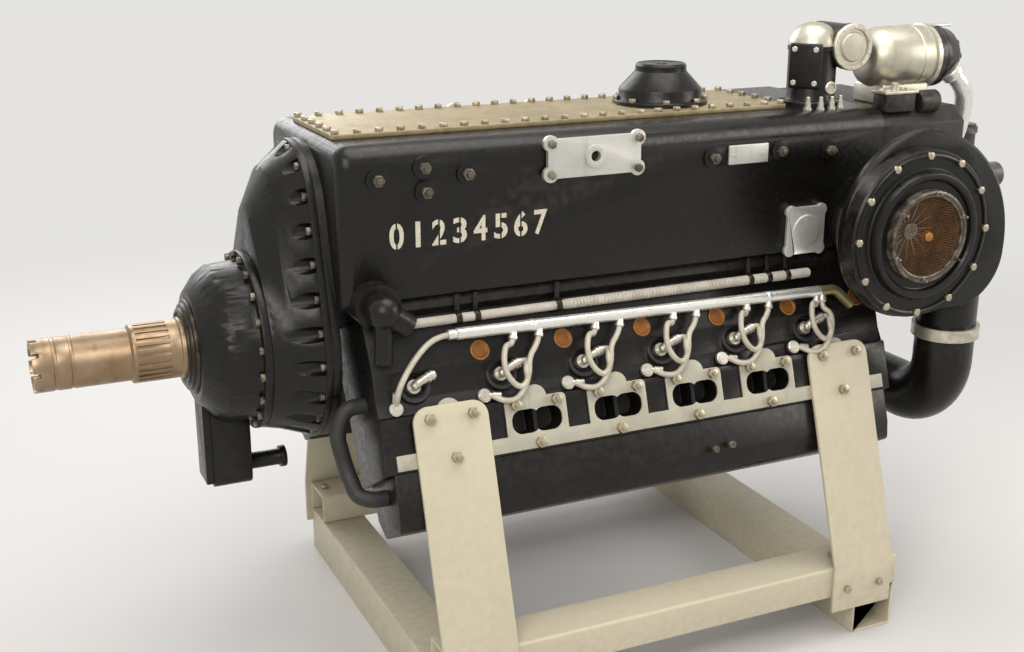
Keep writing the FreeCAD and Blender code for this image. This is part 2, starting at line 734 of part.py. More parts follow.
# Stand: four bent leg plates, each bolted over an end exhaust port
def legPlate(name, x):
    body = newBody(name)
    lean = "dim.portFaceTilt"
    sketch = outline(body, "YZ_Plane", [
        ("-dim.railOuter", "dim.legFoot"),
        ("-dim.railOuter", "dim.legBend"),
        (f"dim.gasketY + dim.legRise * sin({lean})", f"dim.gasketZ + dim.legRise * cos({lean})"),
        (f"dim.legFaceY + dim.legRise * sin({lean})", f"dim.legFaceZ + dim.legRise * cos({lean})"),
        ("-dim.railOuter - dim.legThickness", "dim.legBendOuter"),
        ("-dim.railOuter - dim.legThickness", "dim.legFoot"),
    ], f"{x} - dim.legWidth / 2")
    pad(body, sketch, "dim.legWidth")
    top = size["gasketZ"]
    soften(body, "dim.legCorner", lambda edge: edge.BoundBox.ZMin > top and edge.Length < size["legThickness"] + 1)
    return body


portLegs = [legPlate("front_leg", "dim.firstCylinder"), legPlate("rear_leg", "-dim.firstCylinder")]
keep("stand_legs", together("legs", portLegs + [mirrored(leg.Name + "_other", leg) for leg in portLegs]))


def standBolts():
    bolts = []
    for x in (size["firstCylinder"], -size["firstCylinder"]):
        for side in (-0.5, 0.5):
            spot = Vector(x + side * size["footBoltSpan"], -size["railOuter"] - size["legThickness"],
                          size["footBoltZ"])
            bolts.append(seated(smallBolt(), spot, -ALONG_Y))
            spot = Vector(x + side * size["footBoltSpan"], -size["railOuter"] + size["railWidth"] / 2,
                          size["railTop"])
            bolts.append(seated(smallBolt(), spot, ALONG_Z))
    return bothSides(bolts)


keep("stand_bolts", shaped("stand_bolts_solid", standBolts()))


# Crankcase: hollow trough with seven bearing webs, closed on top by the plate
def crankcaseBody():
    body = newBody("crankcase_body")
    half = "dim.caseHalf"
    skin = outline(body, "YZ_Plane", [
        ("-" + half, "dim.caseTop"),
        ("-" + half, "dim.deckSideZ"),
        ("-dim.keelHalf", "dim.deckKeelZ"),
        ("-dim.keelHalf", "dim.keelBottom"),
        ("dim.keelHalf", "dim.keelBottom"),
        ("dim.keelHalf", "dim.deckKeelZ"),
        (half, "dim.deckSideZ"),
        (half, "dim.caseTop"),
    ], "dim.caseFront")
    pad(body, skin, "dim.caseRear - dim.caseFront")
    top = size["caseTop"]
    side = size["caseHalf"]
    soften(body, "dim.caseShoulder", lambda edge: runs(edge, ALONG_X) and abs(edge.BoundBox.ZMin - top) < 0.01)
    front = size["caseFront"]
    soften(body, "dim.caseCorner", lambda edge: runs(edge, ALONG_Z) and edge.BoundBox.XMax < front + 0.01
           and abs(abs(edge.BoundBox.YMin) - side) < 0.01)
    mouth = "dim.coverHalf - 2 * dim.boltEdge"
    room = outline(body, "YZ_Plane", [
        (f"-({mouth})", "dim.caseTop + 1"),
        (f"-({mouth})", "dim.caseTop - dim.caseWall"),
        ("-dim.innerSide + dim.caseShoulder", "dim.caseTop - dim.caseWall"),
        ("-dim.innerSide", "dim.caseTop - dim.caseWall - dim.caseShoulder"),
        ("-dim.innerSide", "dim.innerSideZ"),
        ("0", "dim.innerDeckZ"),
        ("dim.innerSide", "dim.innerSideZ"),
        ("dim.innerSide", "dim.caseTop - dim.caseWall - dim.caseShoulder"),
        ("dim.innerSide - dim.caseShoulder", "dim.caseTop - dim.caseWall"),
        (mouth, "dim.caseTop - dim.caseWall"),
        (mouth, "dim.caseTop + 1"),
    ], "dim.coverRear - 2 * dim.boltEdge")
    pocket(body, room, "dim.coverRear - dim.coverFront - 4 * dim.boltEdge")
    rear = outline(body, "YZ_Plane", [
        ("-dim.innerSide + dim.caseShoulder", "dim.caseTop - dim.caseWall"),
        ("-dim.innerSide", "dim.caseTop - dim.caseWall - dim.caseShoulder"),
        ("-dim.innerSide", "dim.innerSideZ"),
        ("0", "dim.innerDeckZ"),
        ("dim.innerSide", "dim.innerSideZ"),
        ("dim.innerSide", "dim.caseTop - dim.caseWall - dim.caseShoulder"),
        ("dim.innerSide - dim.caseShoulder", "dim.caseTop - dim.caseWall"),
    ], "dim.caseRear - dim.caseWall")
    pocket(body, rear, "dim.caseRear - dim.caseFront - 2 * dim.caseWall")
    web = outline(body, "YZ_Plane", [
        ("-dim.innerSide - 1", "dim.crankHeight"),
        ("-dim.innerSide - 1", "dim.innerSideZ"),
        ("0", "dim.innerDeckZ - 1"),
        ("dim.innerSide + 1", "dim.innerSideZ"),
        ("dim.innerSide + 1", "dim.crankHeight"),
    ], "-3 * dim.cylinderPitch - dim.webThickness / 2")
    first = pad(body, web, "dim.webThickness")
    row(body, first, "X_Axis", "6 * dim.cylinderPitch", "7")
    line = ringSketch(body, "YZ_Plane", "0", "dim.crankHeight", "dim.webBore", "dim.caseRear - dim.caseWall")
    pocket(body, line, "dim.caseRear - dim.caseFront")
    return body


def boss(name, x, z, radius="dim.bossRadius"):
    return cylinder(name, radius, "dim.bossHeight + 2", x, "-dim.caseHalf - dim.bossHeight", z, "y")


SIDE_BOSSES = (
    ("-3 * dim.cylinderPitch - 14", "dim.caseTop - 58"),
    ("-2 * dim.cylinderPitch - 16", "dim.caseTop - 59"),
    ("-2.5 * dim.cylinderPitch - 13", "dim.caseTop - 42"),
    ("-2.5 * dim.cylinderPitch - 10", "dim.caseTop - 86"),
    ("dim.cylinderPitch - 14", "dim.caseTop - 70"),
    ("2 * dim.cylinderPitch - 29", "dim.caseTop - 67"),
    ("2.5 * dim.cylinderPitch + 6", "dim.caseTop - 74"),
)


def crankcase():
    raw = crankcaseBody()
    lumps = [boss(f"boss_{index}", x, z) for index, (x, z) in enumerate(SIDE_BOSSES)]
    seat = box("pad_seat", "dim.padRight - dim.padLeft - 12", "dim.padBoss + 30", "dim.padHigh - dim.padLow - 12",
               "dim.padLeft + 6", "-dim.caseHalf - dim.padBoss", "dim.padLow + 6")
    lumps.append(seat)
    portLumps = fuse("port_lumps", lumps)
    front = shaped("front_plate", Part.Face(eggWire(size["housingBack"], size["housingLow"], size["housingHigh"]))
                   .extrude(Vector(size["caseFront"] - size["housingBack"] + 1, 0, 0)))
    hub = cylinder("rear_hub", "dim.shaftRearRadius + dim.bearingWall + 14", "34", "dim.housingBack", "0",
                   "dim.shaftHeight", "x")
    whole = fuse("crankcase_whole", [raw, portLumps, mirrored("starboard_lumps", portLumps), front, hub])
    bores = []
    for x in portSpots():
        bores.append(inBank(Part.makeCylinder(
            size["linerRadius"] + 0.1, size["deckDistance"] - size["linerStart"] + 20,
            Vector(x, 0, -size["deckDistance"] - 5), ALONG_Z)))
    holes = shaped("liner_holes", bothSides(bores))
    shaftHole = cylinder("shaft_hole", "dim.shaftRearRadius + dim.bearingWall", "80", "dim.housingBack - 10", "0",
                         "dim.shaftHeight", "x")
    crankHole = cylinder("crank_hole", "dim.webBore", "60", "dim.housingBack - 10", "0", "dim.crankHeight", "x")
    trimmed = cut("crankcase_bored", whole, [shaftHole, crankHole])
    return cut("crankcase_solid", trimmed, [holes])


keep("crankcase", crankcase())


# Top plate and its bolts
def coverPlate():
    body = newBody("cover_body")
    sketch = outline(body, "XY_Plane", [
        ("dim.coverFront", "-dim.coverHalf"),
        ("dim.coverRear", "-dim.coverHalf"),
        ("dim.coverRear", "dim.coverHalf"),
        ("dim.coverFront", "dim.coverHalf"),
    ], "dim.caseTop")
    pad(body, sketch, "dim.coverThickness")
    soften(body, "6", lambda edge: runs(edge, ALONG_Z))
    return body


keep("crankcase_cover", coverPlate())


def coverBolts():
    bolts = []
    count = int(size["coverBolts"])
    z = size["caseTop"] + size["coverThickness"]
    start = size["coverFront"] + size["boltEdge"]
    step = (size["coverRear"] - size["coverFront"] - 2 * size["boltEdge"]) / (count - 1)
    reach = size["coverHalf"] - size["boltEdge"]
    for index in range(count):
        for y in (-reach, reach):
            bolts.append(seated(smallBolt(), Vector(start + index * step, y, z), ALONG_Z, 17 * index))
    for side in (-0.6, -0.2, 0.2, 0.6):
        for x in (start, start + (count - 1) * step):
            bolts.append(seated(smallBolt(), Vector(x, side * reach, z), ALONG_Z, 40 * side))
    for index in range(8):
        angle = math.radians(45 * index + 22.5)
        radius = size["domeRadius"] - 6
        spot = Vector(size["domeX"] + radius * math.cos(angle), radius * math.sin(angle), z + size["domeFlange"])
        bolts.append(seated(smallBolt(), spot, ALONG_Z, 45 * index))
    return Part.makeCompound(bolts)


keep("cover_bolts", shaped("cover_bolts_solid", coverBolts()))


# Breather dome on the top plate
def breatherDome():
    body = newBody("dome_body")
    sketch = outline(body, "XZ_Plane", [
        ("0", "0"),
        ("dim.domeRadius", "0"),
        ("dim.domeRadius", "dim.domeFlange"),
        ("dim.domeSideRadius - 4", "dim.domeFlange"),
        ("dim.domeSideRadius", "dim.domeHeight - 46"),
        ("dim.domeTopRadius", "dim.domeHeight - 4"),
        ("dim.domeTopRadius - 8", "dim.domeHeight"),
        ("0", "dim.domeHeight"),
    ])
    revolve(body, sketch, "V_Axis")
    return shift(body, "dim.domeX", "0", "dim.caseTop + dim.coverThickness")


keep("breather_dome", breatherDome())


# Main bearing caps, shells, and the two propeller shaft bearings
def webSpots():
    return [step * size["cylinderPitch"] for step in range(-3, 4)]


def bearingCaps():
    caps = []
    thick = size["webThickness"]
    half = size["capHalf"]
    height = size["capHeight"]
    for x in webSpots():
        block = Part.makeBox(thick, 2 * half, height, Vector(x - thick / 2, -half, size["crankHeight"]))
        long = [edge for edge in block.Edges if runs(edge, ALONG_X)
                and edge.BoundBox.ZMin > size["crankHeight"] + 1]
        block = block.makeFillet(height / 2, long)
        hole = Part.makeCylinder(size["webBore"], thick + 2, Vector(x - thick / 2 - 1, 0, size["crankHeight"]),
                                 ALONG_X)
        caps.append(block.cut(hole))
    return Part.makeCompound(caps)


keep("main_bearing_caps", shaped("bearing_caps_solid", bearingCaps()))


def sleeve(start, length, inner, outer, axis):
    return Part.makeCylinder(outer, length, start, axis).cut(Part.makeCylinder(inner, length, start, axis))


def plainBearings():
    rings = []
    inner = size["journalRadius"] + size["shaftGap"]
    for x in webSpots():
        rings.append(sleeve(Vector(x - size["webThickness"] / 2, 0, size["crankHeight"]), size["webThickness"],
                            inner, inner + size["shellWall"], ALONG_X))
    nose = size["shaftSeatRadius"] + size["shaftGap"]
    rings.append(sleeve(Vector(size["frontBearing"], 0, size["shaftHeight"]), size["frontBearingWidth"],
                        nose, size["shaftSeatRadius"] + size["bearingWall"], ALONG_X))
    tail = size["shaftRearRadius"] + size["shaftGap"]
    rings.append(sleeve(Vector(size["housingBack"], 0, size["shaftHeight"]), 30,
                        tail, size["shaftRearRadius"] + size["bearingWall"], ALONG_X))
    return Part.makeCompound(rings)


keep("plain_bearings", shaped("bearings_solid", plainBearings()))


# Cylinder blocks, modelled straight down under the crank axis and leaned out into their banks
def blockBody():
    body = newBody("block_body")
    sketch = outline(body, "YZ_Plane", [
        ("-dim.flangeOuter", "-dim.deckDistance"),
        ("-dim.flangeOuter", "-dim.deckDistance - dim.flangeDepth"),
        ("-dim.blockOuter", "-dim.deckDistance - dim.flangeDepth - 8"),
        ("-dim.blockOuter", "-dim.upperFaceEnd"),
        ("-dim.valleyFace", "-dim.valleyStart"),
        ("-dim.valleyFace", "-dim.valleyEnd"),
        ("-dim.portTopFace", "-dim.valleyEnd - 4"),
        ("-dim.portBottomFace", "-dim.headDistance"),
        ("dim.blockInner", "-dim.headDistance"),
        ("dim.blockInner", "-dim.deckDistance - dim.flangeDepth - 8"),
        ("dim.flangeInner", "-dim.deckDistance - dim.flangeDepth"),
        ("dim.flangeInner", "-dim.deckDistance"),
    ], "dim.blockFront")
    pad(body, sketch, "dim.blockRear - dim.blockFront")
    pedestal = outline(body, "YZ_Plane", [
        ("-dim.pedestalHalf", "-dim.headDistance + 1"),
        ("-dim.pedestalHalf", "-dim.camDistance - 8"),
        ("-dim.pedestalHalf + 14", "-dim.camDistance - dim.pedestalHalf + 4"),
        ("dim.pedestalHalf - 14", "-dim.camDistance - dim.pedestalHalf + 4"),
        ("dim.pedestalHalf", "-dim.camDistance - 8"),
        ("dim.pedestalHalf", "-dim.headDistance + 1"),
    ], "-3 * dim.cylinderPitch - dim.webThickness / 2")
    first = pad(body, pedestal, "dim.webThickness")
    row(body, first, "X_Axis", "6 * dim.cylinderPitch", "7")
    line = ringSketch(body, "YZ_Plane", "0", "-dim.camDistance", "dim.camJournal + dim.shaftGap", "dim.blockRear")
    pocket(body, line, "dim.blockRear - dim.blockFront")
    return body


def portHole(x):
    # Two ovals side by side that run into each other, parted by a rib that is set back
    wide = size["portWidth"]
    high = size["portHeight"]
    reach = size["portDepth"] + 10
    ovals = []
    for side in (-1, 1):
        corner = Vector(side * size["portSpread"] - wide / 2, -high / 2, -size["portDepth"])
        oval = Part.makeBox(wide, high, reach, corner)
        ovals.append(oval.makeFillet(size["portCorner"], [edge for edge in oval.Edges if runs(edge, ALONG_Z)]))
    rib = size["portSeptum"]
    septum = Part.makeBox(rib, high + 2, size["portDepth"] - 5, Vector(-rib / 2, -high / 2 - 1, -size["portDepth"] - 1))
    hole = ovals[0].fuse(ovals[1]).cut(septum)
    hole.Placement = portFrame(x)
    return hole


def blockHoles():
    tools = []
    for x in portSpots():
        top = Vector(x, 0, -size["roofDistance"])
        tools.append(inBank(Part.makeCylinder(size["linerRadius"] + 0.1, size["roofDistance"] - size["linerStart"],
                                              top, ALONG_Z)))
        tools.append(portHole(x))
        well = Vector(x + size["wellShift"], -size["wellFloor"], -size["wellDistance"])
        tools.append(inBank(Part.makeCylinder(size["wellRadius"], 60, well, -ALONG_Y)))
    return Part.makeCompound(tools)


def portBlock():
    raw = leanOut(blockBody())
    return cut("port_block_solid", raw, [shaped("block_holes", blockHoles())])


keep("port_cylinder_block", portBlock())
keep("starboard_cylinder_block", mirrored("starboard_block_solid", nodes["port_cylinder_block"]))


def liners():
    tubes = []
    length = size["roofDistance"] - size["linerStart"]
    for x in portSpots():
        tubes.append(inBank(sleeve(Vector(x, 0, -size["roofDistance"]), length, size["cylinderBore"] / 2,
                                   size["linerRadius"], ALONG_Z)))
    return bothSides(tubes)


keep("cylinder_liners", shaped("liners_solid", liners()))


# Camshaft covers close the lower end of each bank
def camCover():
    body = newBody("cam_cover_body")
    front = "dim.blockFront + dim.camCoverLip"
    skin = outline(body, "YZ_Plane", [
        ("-dim.camOuterTop", "-dim.headDistance"),
        ("-dim.camOuterKnee", "-dim.camCoverKnee"),
        ("-dim.camOuterKnee + 16", "-dim.camCoverEnd"),
        ("dim.camCoverFoot", "-dim.camCoverEnd"),
        ("dim.camCoverHalf", "-dim.camCoverKnee"),
        ("dim.camCoverHalf", "-dim.headDistance"),
    ], front)
    pad(body, skin, f"dim.blockRear - dim.camCoverLip - ({front})")
    low = -size["camCoverKnee"] + 1
    soften(body, "14", lambda edge: runs(edge, ALONG_X) and edge.BoundBox.ZMax < low)
    wall = "dim.camCoverWall"
    room = outline(body, "YZ_Plane", [
        (f"-dim.camOuterTop + {wall}", "-dim.headDistance + 1"),
        (f"-dim.camOuterKnee + {wall}", f"-dim.camCoverKnee + {wall} / 2"),
        (f"-dim.camOuterKnee + 16 + {wall} / 2", f"-dim.camCoverEnd + {wall}"),
        (f"dim.camCoverFoot - {wall} / 2", f"-dim.camCoverEnd + {wall}"),
        (f"dim.camCoverHalf - {wall}", f"-dim.camCoverKnee + {wall} / 2"),
        (f"dim.camCoverHalf - {wall}", "-dim.headDistance + 1"),
    ], f"dim.blockRear - dim.camCoverLip - {wall}")
    pocket(body, room, f"dim.blockRear - dim.camCoverLip - ({front}) - 2 * {wall}")
    return leanOut(body)


keep("port_camshaft_cover", camCover())
keep("starboard_camshaft_cover", mirrored("starboard_cam_cover", nodes["port_camshaft_cover"]))


# Exhaust gasket plates: one per bank, a strip with a lobed plate and a double oval at each port
def gasketPlate():
    thick = size["gasketThickness"]
    strip = Part.makeBox(size["blockRear"] - size["blockFront"] - 40, size["gasketStrip"], thick,
                         Vector(size["blockFront"] + 20, -size["gasketDrop"], 0))
    shape = strip
    for x in portSpots():
        width = size["gasketWidth"]
        plate = Part.makeBox(width, size["gasketRise"] + size["gasketDrop"], thick,
                             Vector(x - width / 2, -size["gasketDrop"], 0))
        corners = [edge for edge in plate.Edges if runs(edge, ALONG_Z) and edge.BoundBox.YMin > 0]
        plate = plate.makeFillet(10, corners)
        lobe = Part.makeCylinder(size["gasketLobe"], thick, Vector(x, size["gasketRise"] - 2, 0))
        shape = shape.fuse([plate, lobe])
    shape.Placement = portFrame(0)
    for x in portSpots():
        shape = shape.cut(portHole(x))
    return shape.removeSplitter()


def studFrames():
    # Place of each exhaust stud on the gasket face, and whether a leg plate lies over it
    frames = []
    half = size["studSpan"] / 2
    for index, x in enumerate(portSpots()):
        for u, v in ((-half, size["studRise"]), (half, size["studRise"]), (0, -size["studDrop"])):
            height = size["gasketThickness"] + (size["legThickness"] if index in (0, 5) else 0)
            frames.append(portFrame(x).multiply(Placement(Vector(u, v, height), Rotation())))
    return frames


keep("exhaust_gaskets", shaped("gaskets_solid", bothSides([gasketPlate()])))


def exhaustStuds():
    studs = []
    for frame in studFrames():
        nut = largeNut()
        nut.Placement = frame
        studs.append(nut)
    return bothSides(studs)


keep("exhaust_studs", shaped("studs_solid", exhaustStuds()))


# Spark plugs: one in the valley and one in a well for each cylinder
def plugTop(x):
    # Where the lead leaves the upper plug
    return bankPoint(x + size["wellShift"], size["wellDistance"], size["valleyFace"] + 12)


def sparkPlugs():
    plugs = []
    radius = size["plugRadius"]
    for x in portSpots():
        low = Vector(x + size["eyeletShift"], -size["valleyFace"], -size["eyeletDistance"])
        body = Part.makeCylinder(radius, size["plugReach"], low, -ALONG_Y)
        plugs.append(inBank(body))
        deep = Vector(x + size["wellShift"], -size["wellFloor"], -size["wellDistance"])
        reach = size["valleyFace"] + 12 - size["wellFloor"]
        base = Part.makeCylinder(radius + 3, 12, deep, -ALONG_Y)
        stem = Part.makeCylinder(radius - 2, reach, deep, -ALONG_Y)
        knob = Part.makeSphere(radius - 2, deep - ALONG_Y * reach)
        plugs.append(inBank(base.fuse([stem, knob])))
    return bothSides(plugs)


keep("spark_plugs", shaped("spark_plugs_solid", sparkPlugs()))


def corePlugs():
    discs = []
    for x in portSpots():
        spot = Vector(x + size["corePlugShift"], -size["blockOuter"], -size["corePlugDistance"])
        discs.append(inBank(Part.makeCylinder(size["corePlugRadius"], size["corePlugHeight"], spot, -ALONG_Y)))
    return bothSides(discs)


keep("core_plugs", shaped("core_plugs_solid", corePlugs()))


# Ignition conduit along each bank, and the leads from it to the plugs
def conduitPoint(x):
    share = (x - size["conduitFront"]) / (size["conduitRear"] - size["conduitFront"])
    z = size["conduitFrontZ"] + share * (size["conduitRearZ"] - size["conduitFrontZ"])
    return Vector(x, size["conduitY"], z)


OUTLET_DROP = Vector(0, -0.45, -0.9).normalize()
OUTLET_REACH = 26
LOW_OUTLET = 36
HIGH_OUTLET = -26


LAST_DROP = Vector(0, -0.15, -1).normalize()


def lastOutlet():
    return conduitPoint(size["conduitRear"]) + Vector(20, -1, -10)


def outletEnd(x):
    return conduitPoint(x) + OUTLET_DROP * OUTLET_REACH


def conduitOutlets():
    # Outlets along the conduit: for each cylinder behind the first, one low lead and one high lead
    spots = []
    for x in portSpots()[1:]:
        spots.append(x + LOW_OUTLET)
        spots.append(x + HIGH_OUTLET)
    return [min(spot, size["conduitRear"] - 12) if spot < size["conduitRear"] + 8 else spot for spot in spots]


def ignitionConduit():
    start = conduitPoint(size["conduitFront"])
    bend = conduitPoint(size["conduitRear"])
    end = bend + Vector(54, -3, -36)
    pipe = tube([tuple(start), tuple(bend), tuple(end)], size["conduitRadius"], 40)
    pieces = []
    for x in conduitOutlets():
        if x < size["conduitRear"]:
            pieces.append(Part.makeCylinder(6, OUTLET_REACH, conduitPoint(x), OUTLET_DROP))
    pieces.append(Part.makeCylinder(6, OUTLET_REACH, lastOutlet(), LAST_DROP))
    normal = Vector(0, math.cos(math.radians(size["bankTilt"])), -math.sin(math.radians(size["bankTilt"])))
    block = nodes["port_cylinder_block"].Shape
    for x in (size["conduitFront"] + 60, 20, size["conduitRear"] - 40):
        leg = Part.makeCylinder(8, 30, conduitPoint(x), normal)
        pieces.append(leg)
    pipe = pipe.fuse(pieces)
    return pipe.cut(block)


def leadRoutes():
    # Each lead: straight out of its outlet, down over the block, and in to its plug
    routes = []
    for index, x in enumerate(portSpots()):
        eye = bankPoint(x + size["eyeletShift"], size["eyeletDistance"], size["valleyFace"] + 7)
        side = Vector(size["plugRadius"], 0, 0)
        if index == 0:
            start = conduitPoint(size["conduitFront"])
            routes.append([start, start + Vector(-34, -6, -4), start + Vector(-74, -22, -34),
                           start + Vector(-100, -38, -76), eye + Vector(0, -14, 40), eye + Vector(0, -4, 11)])
            continue
        if index == 5:
            # The last cylinder's leads keep behind the supercharger and above the leg plate
            start = lastOutlet() + LAST_DROP * OUTLET_REACH
            routes.append([start, start + Vector(-4, -10, -16), start + Vector(-18, -17, -34),
                           eye + Vector(64, -13, 26), eye + Vector(34, -8, 12), eye + side])
        else:
            start = outletEnd(x + LOW_OUTLET)
            first = start + OUTLET_DROP * 16
            routes.append([start, first, first + Vector(-12, -9, -22), first + Vector(-8, -24, -52),
                           eye + Vector(66, -16, 2), eye + Vector(36, -9, -6), eye + side])
        if index == 1:
            continue
        begin = outletEnd(x + HIGH_OUTLET)
        knob = plugTop(x)
        second = begin + OUTLET_DROP * 12
        drop = 14 if index == 5 else 0
        routes.append([begin, second, second + Vector(-17, -14 + drop, -18), second + Vector(-14, -30 + drop, -40),
                       knob + Vector(20, -28 + drop, -4), knob + Vector(20, -22 + drop, 8), knob + Vector(4, -5, 5)])
    return routes


def plugLeads():
    leads = []
    others = nodes["spark_plugs"].Shape.fuse(nodes["ignition_conduits"].Shape.Solids)
    for route in leadRoutes():
        solid = tube([tuple(point) for point in route], size["leadRadius"], 2.5 * size["leadRadius"])
        leads.append(largest(solid.cut(others)))
    return bothSides(leads)


doc.recompute()
keep("ignition_conduits", shaped("conduits_solid", bothSides([ignitionConduit()])))
keep("plug_leads", shaped("leads_solid", plugLeads()))


# Reduction housing: a bell over both gears with a scalloped pocket for each flange bolt
def ringSpots(x, inset, count):
    wire = eggWire(x, size["housingLow"] - inset, size["housingHigh"] - inset)
    return wire.discretize(Number=int(count) + 1)[:-1]


def reductionHousing():
    back = size["housingBack"]
    front = back - size["housingLip"]
    lip = Part.Face(eggWire(back, size["housingLow"], size["housingHigh"])).extrude(Vector(-size["housingLip"], 0, 0))
    step = size["pocketInset"] - 8
    low = size["housingLow"] - step
    high = size["housingHigh"] - step
    bell = eggBetween(eggWire(front, low, high),
                      eggWire(size["housingKnee"], size["housingKneeLow"], size["housingKneeHigh"]))
    dome = eggBetween(eggWire(size["housingKnee"], size["housingKneeLow"], size["housingKneeHigh"]),
                      eggWire(size["housingFace"], size["housingFaceLow"], size["housingFaceHigh"],
                              size["housingFaceDrop"]))
    whole = lip.fuse([bell, dome])
    for spot in ringSpots(front, size["pocketInset"], size["housingBolts"]):
        pocketTool = Part.makeCylinder(size["pocketRadius"], front - size["housingFace"] + 50, spot, -ALONG_X)
        whole = whole.cut(pocketTool)
    wall = size["housingWall"]
    gearLow = size["gearModule"] * (size["wheelTeeth"] / 2 + 1) + 4
    gearHigh = size["gearModule"] * (size["pinionTeeth"] / 2 + 1) + 4
    room = Part.Face(eggWire(back, gearLow, gearHigh)).extrude(Vector(size["gearFront"] - 3 - back, 0, 0))
    nose = Part.makeCylinder(size["shaftSeatRadius"] + 22, 120,
                             Vector(size["housingFace"] - 10, 0, size["shaftHeight"]), ALONG_X)
    whole = whole.cut(room).cut(nose)
    return whole.removeSplitter()


keep("reduction_housing", shaped("housing_solid", reductionHousing()))


# Nose cover, seal ring and the hollow propeller shaft, turned about the shaft axis
def noseCover():
    body = newBody("nose_body")
    bore = "dim.shaftSeatRadius + dim.bearingWall"
    sketch = outline(body, "XZ_Plane", [
        ("dim.housingFace", "dim.noseRadius"),
        ("dim.noseFlange", "dim.noseRadius"),
        ("dim.noseFlange", "dim.noseDrumRadius"),
        ("dim.noseShoulder", "dim.noseShoulderRadius"),
        ("dim.noseRim", "dim.noseRimRadius"),
        ("dim.noseFront", "dim.noseFrontRadius"),
        ("dim.noseFront", "dim.shaftSeatRadius + dim.fitGap"),
        ("dim.frontBearing", "dim.shaftSeatRadius + dim.fitGap"),
        ("dim.frontBearing", bore),
        ("dim.frontBearing + dim.frontBearingWidth", bore),
        ("dim.frontBearing + dim.frontBearingWidth", "dim.noseRadius - 40"),
        ("dim.housingFace", "dim.noseRadius - 40"),
    ])
    revolve(body, sketch, "H_Axis")
    return shift(body, "0", "0", "dim.shaftHeight")


keep("nose_cover", noseCover())


def sealRing():
    body = newBody("seal_body")
    sketch = outline(body, "XZ_Plane", [
        ("dim.noseFront", "dim.shaftSeatRadius + dim.fitGap"),
        ("dim.noseFront", "dim.sealRadius"),
        ("dim.noseFront - 6", "dim.sealRadius"),
        ("dim.sealFront", "dim.sealRadius - 14"),
        ("dim.sealFront", "dim.shaftSeatRadius + dim.fitGap"),
    ])
    revolve(body, sketch, "H_Axis")
    return shift(body, "0", "0", "dim.shaftHeight")


keep("nose_seal_ring", sealRing())


def propellerShaft():
    body = newBody("shaft_body")
    sketch = outline(body, "XZ_Plane", [
        ("dim.shaftTip", "dim.shaftHole"),
        ("dim.shaftTip", "dim.shaftTipRadius - 3"),
        ("dim.shaftTip + 3", "dim.shaftTipRadius"),
        ("dim.shaftSplineFront", "dim.shaftTipRadius"),
        ("dim.shaftSplineFront + 4", "dim.shaftSplineRadius"),
        ("dim.shaftSplineRear", "dim.shaftSplineRadius"),
        ("dim.shaftSplineRear + 6", "dim.shaftSeatRadius"),
        ("dim.gearRear", "dim.shaftSeatRadius"),
        ("dim.gearRear", "dim.shaftRearRadius"),
        ("dim.shaftRear", "dim.shaftRearRadius"),
        ("dim.shaftRear", "dim.shaftHole"),
    ])
    revolve(body, sketch, "H_Axis")
    groove = outline(body, "YZ_Plane", [
        ("-2.6", "dim.shaftSplineRadius - dim.splineDepth"),
        ("-2.6", "dim.shaftSplineRadius + 4"),
        ("2.6", "dim.shaftSplineRadius + 4"),
        ("2.6", "dim.shaftSplineRadius - dim.splineDepth"),
    ], "dim.shaftSplineRear - 2")
    first = pocket(body, groove, "dim.shaftSplineRear - dim.shaftSplineFront")
    circleOf(body, first, "X_Axis", "dim.splineCount")
    slot = outline(body, "YZ_Plane", [
        ("-6", "dim.shaftHole - 5"),
        ("-6", "dim.shaftTipRadius + 5"),
        ("6", "dim.shaftTipRadius + 5"),
        ("6", "dim.shaftHole - 5"),
    ], "dim.shaftTip + dim.castleDepth")
    second = pocket(body, slot, "dim.castleDepth + 1")
    circleOf(body, second, "X_Axis", "dim.castleSlots")
    return shift(body, "0", "0", "dim.shaftHeight")


keep("propeller_shaft", propellerShaft())


# Reduction gears with involute teeth
def involutePoint(base, radius, start):
    roll = math.sqrt(max((radius / base) ** 2 - 1, 0))
    return start + roll - math.atan(roll)


def gearFace(teeth, phase):
    module = size["gearModule"]
    pitch = module * teeth / 2
    base = pitch * math.cos(math.radians(20))
    root = pitch - 1.25 * module
    tip = pitch + module
    halfTooth = (math.pi * module / 2 - size["backlash"]) / 2 / pitch
    offset = involutePoint(base, pitch, 0)
    radii = [max(root, base), pitch, tip]
    points = []
    for tooth in range(teeth):
        centre = phase + tooth * 2 * math.pi / teeth
        flank = [(radius, halfTooth + offset - involutePoint(base, radius, 0)) for radius in radii]
        left = [(root, flank[0][1])] + flank
        for radius, angle in left:
            points.append((radius, centre - angle))
        for radius, angle in reversed(left):
            points.append((radius, centre + angle))
    corners = [Vector(0, radius * math.sin(angle), radius * math.cos(angle)) for radius, angle in points]
    clean = [corners[0]]
    for corner in corners[1:]:
        if (corner - clean[-1]).Length > 0.02:
            clean.append(corner)
    return Part.Face(Part.makePolygon(clean + [clean[0]]))


def gearWheel(teeth, phase, hole, height, windows):
    disc = gearFace(teeth, phase).extrude(Vector(size["gearWidth"], 0, 0))
    disc = disc.cut(Part.makeCylinder(hole, size["gearWidth"] + 2, Vector(-1, 0, 0), ALONG_X))
    if windows:
        rim = size["gearModule"] * teeth / 2 - 24
        for index in range(6):
            angle = math.radians(60 * index)
            centre = Vector(-1, (hole + rim) / 2 * math.cos(angle), (hole + rim) / 2 * math.sin(angle))
            disc = disc.cut(Part.makeCylinder((rim - hole) / 2 - 10, size["gearWidth"] + 2, centre, ALONG_X))
    disc.Placement = Placement(Vector(size["gearFront"], 0, height), Rotation())
    return disc


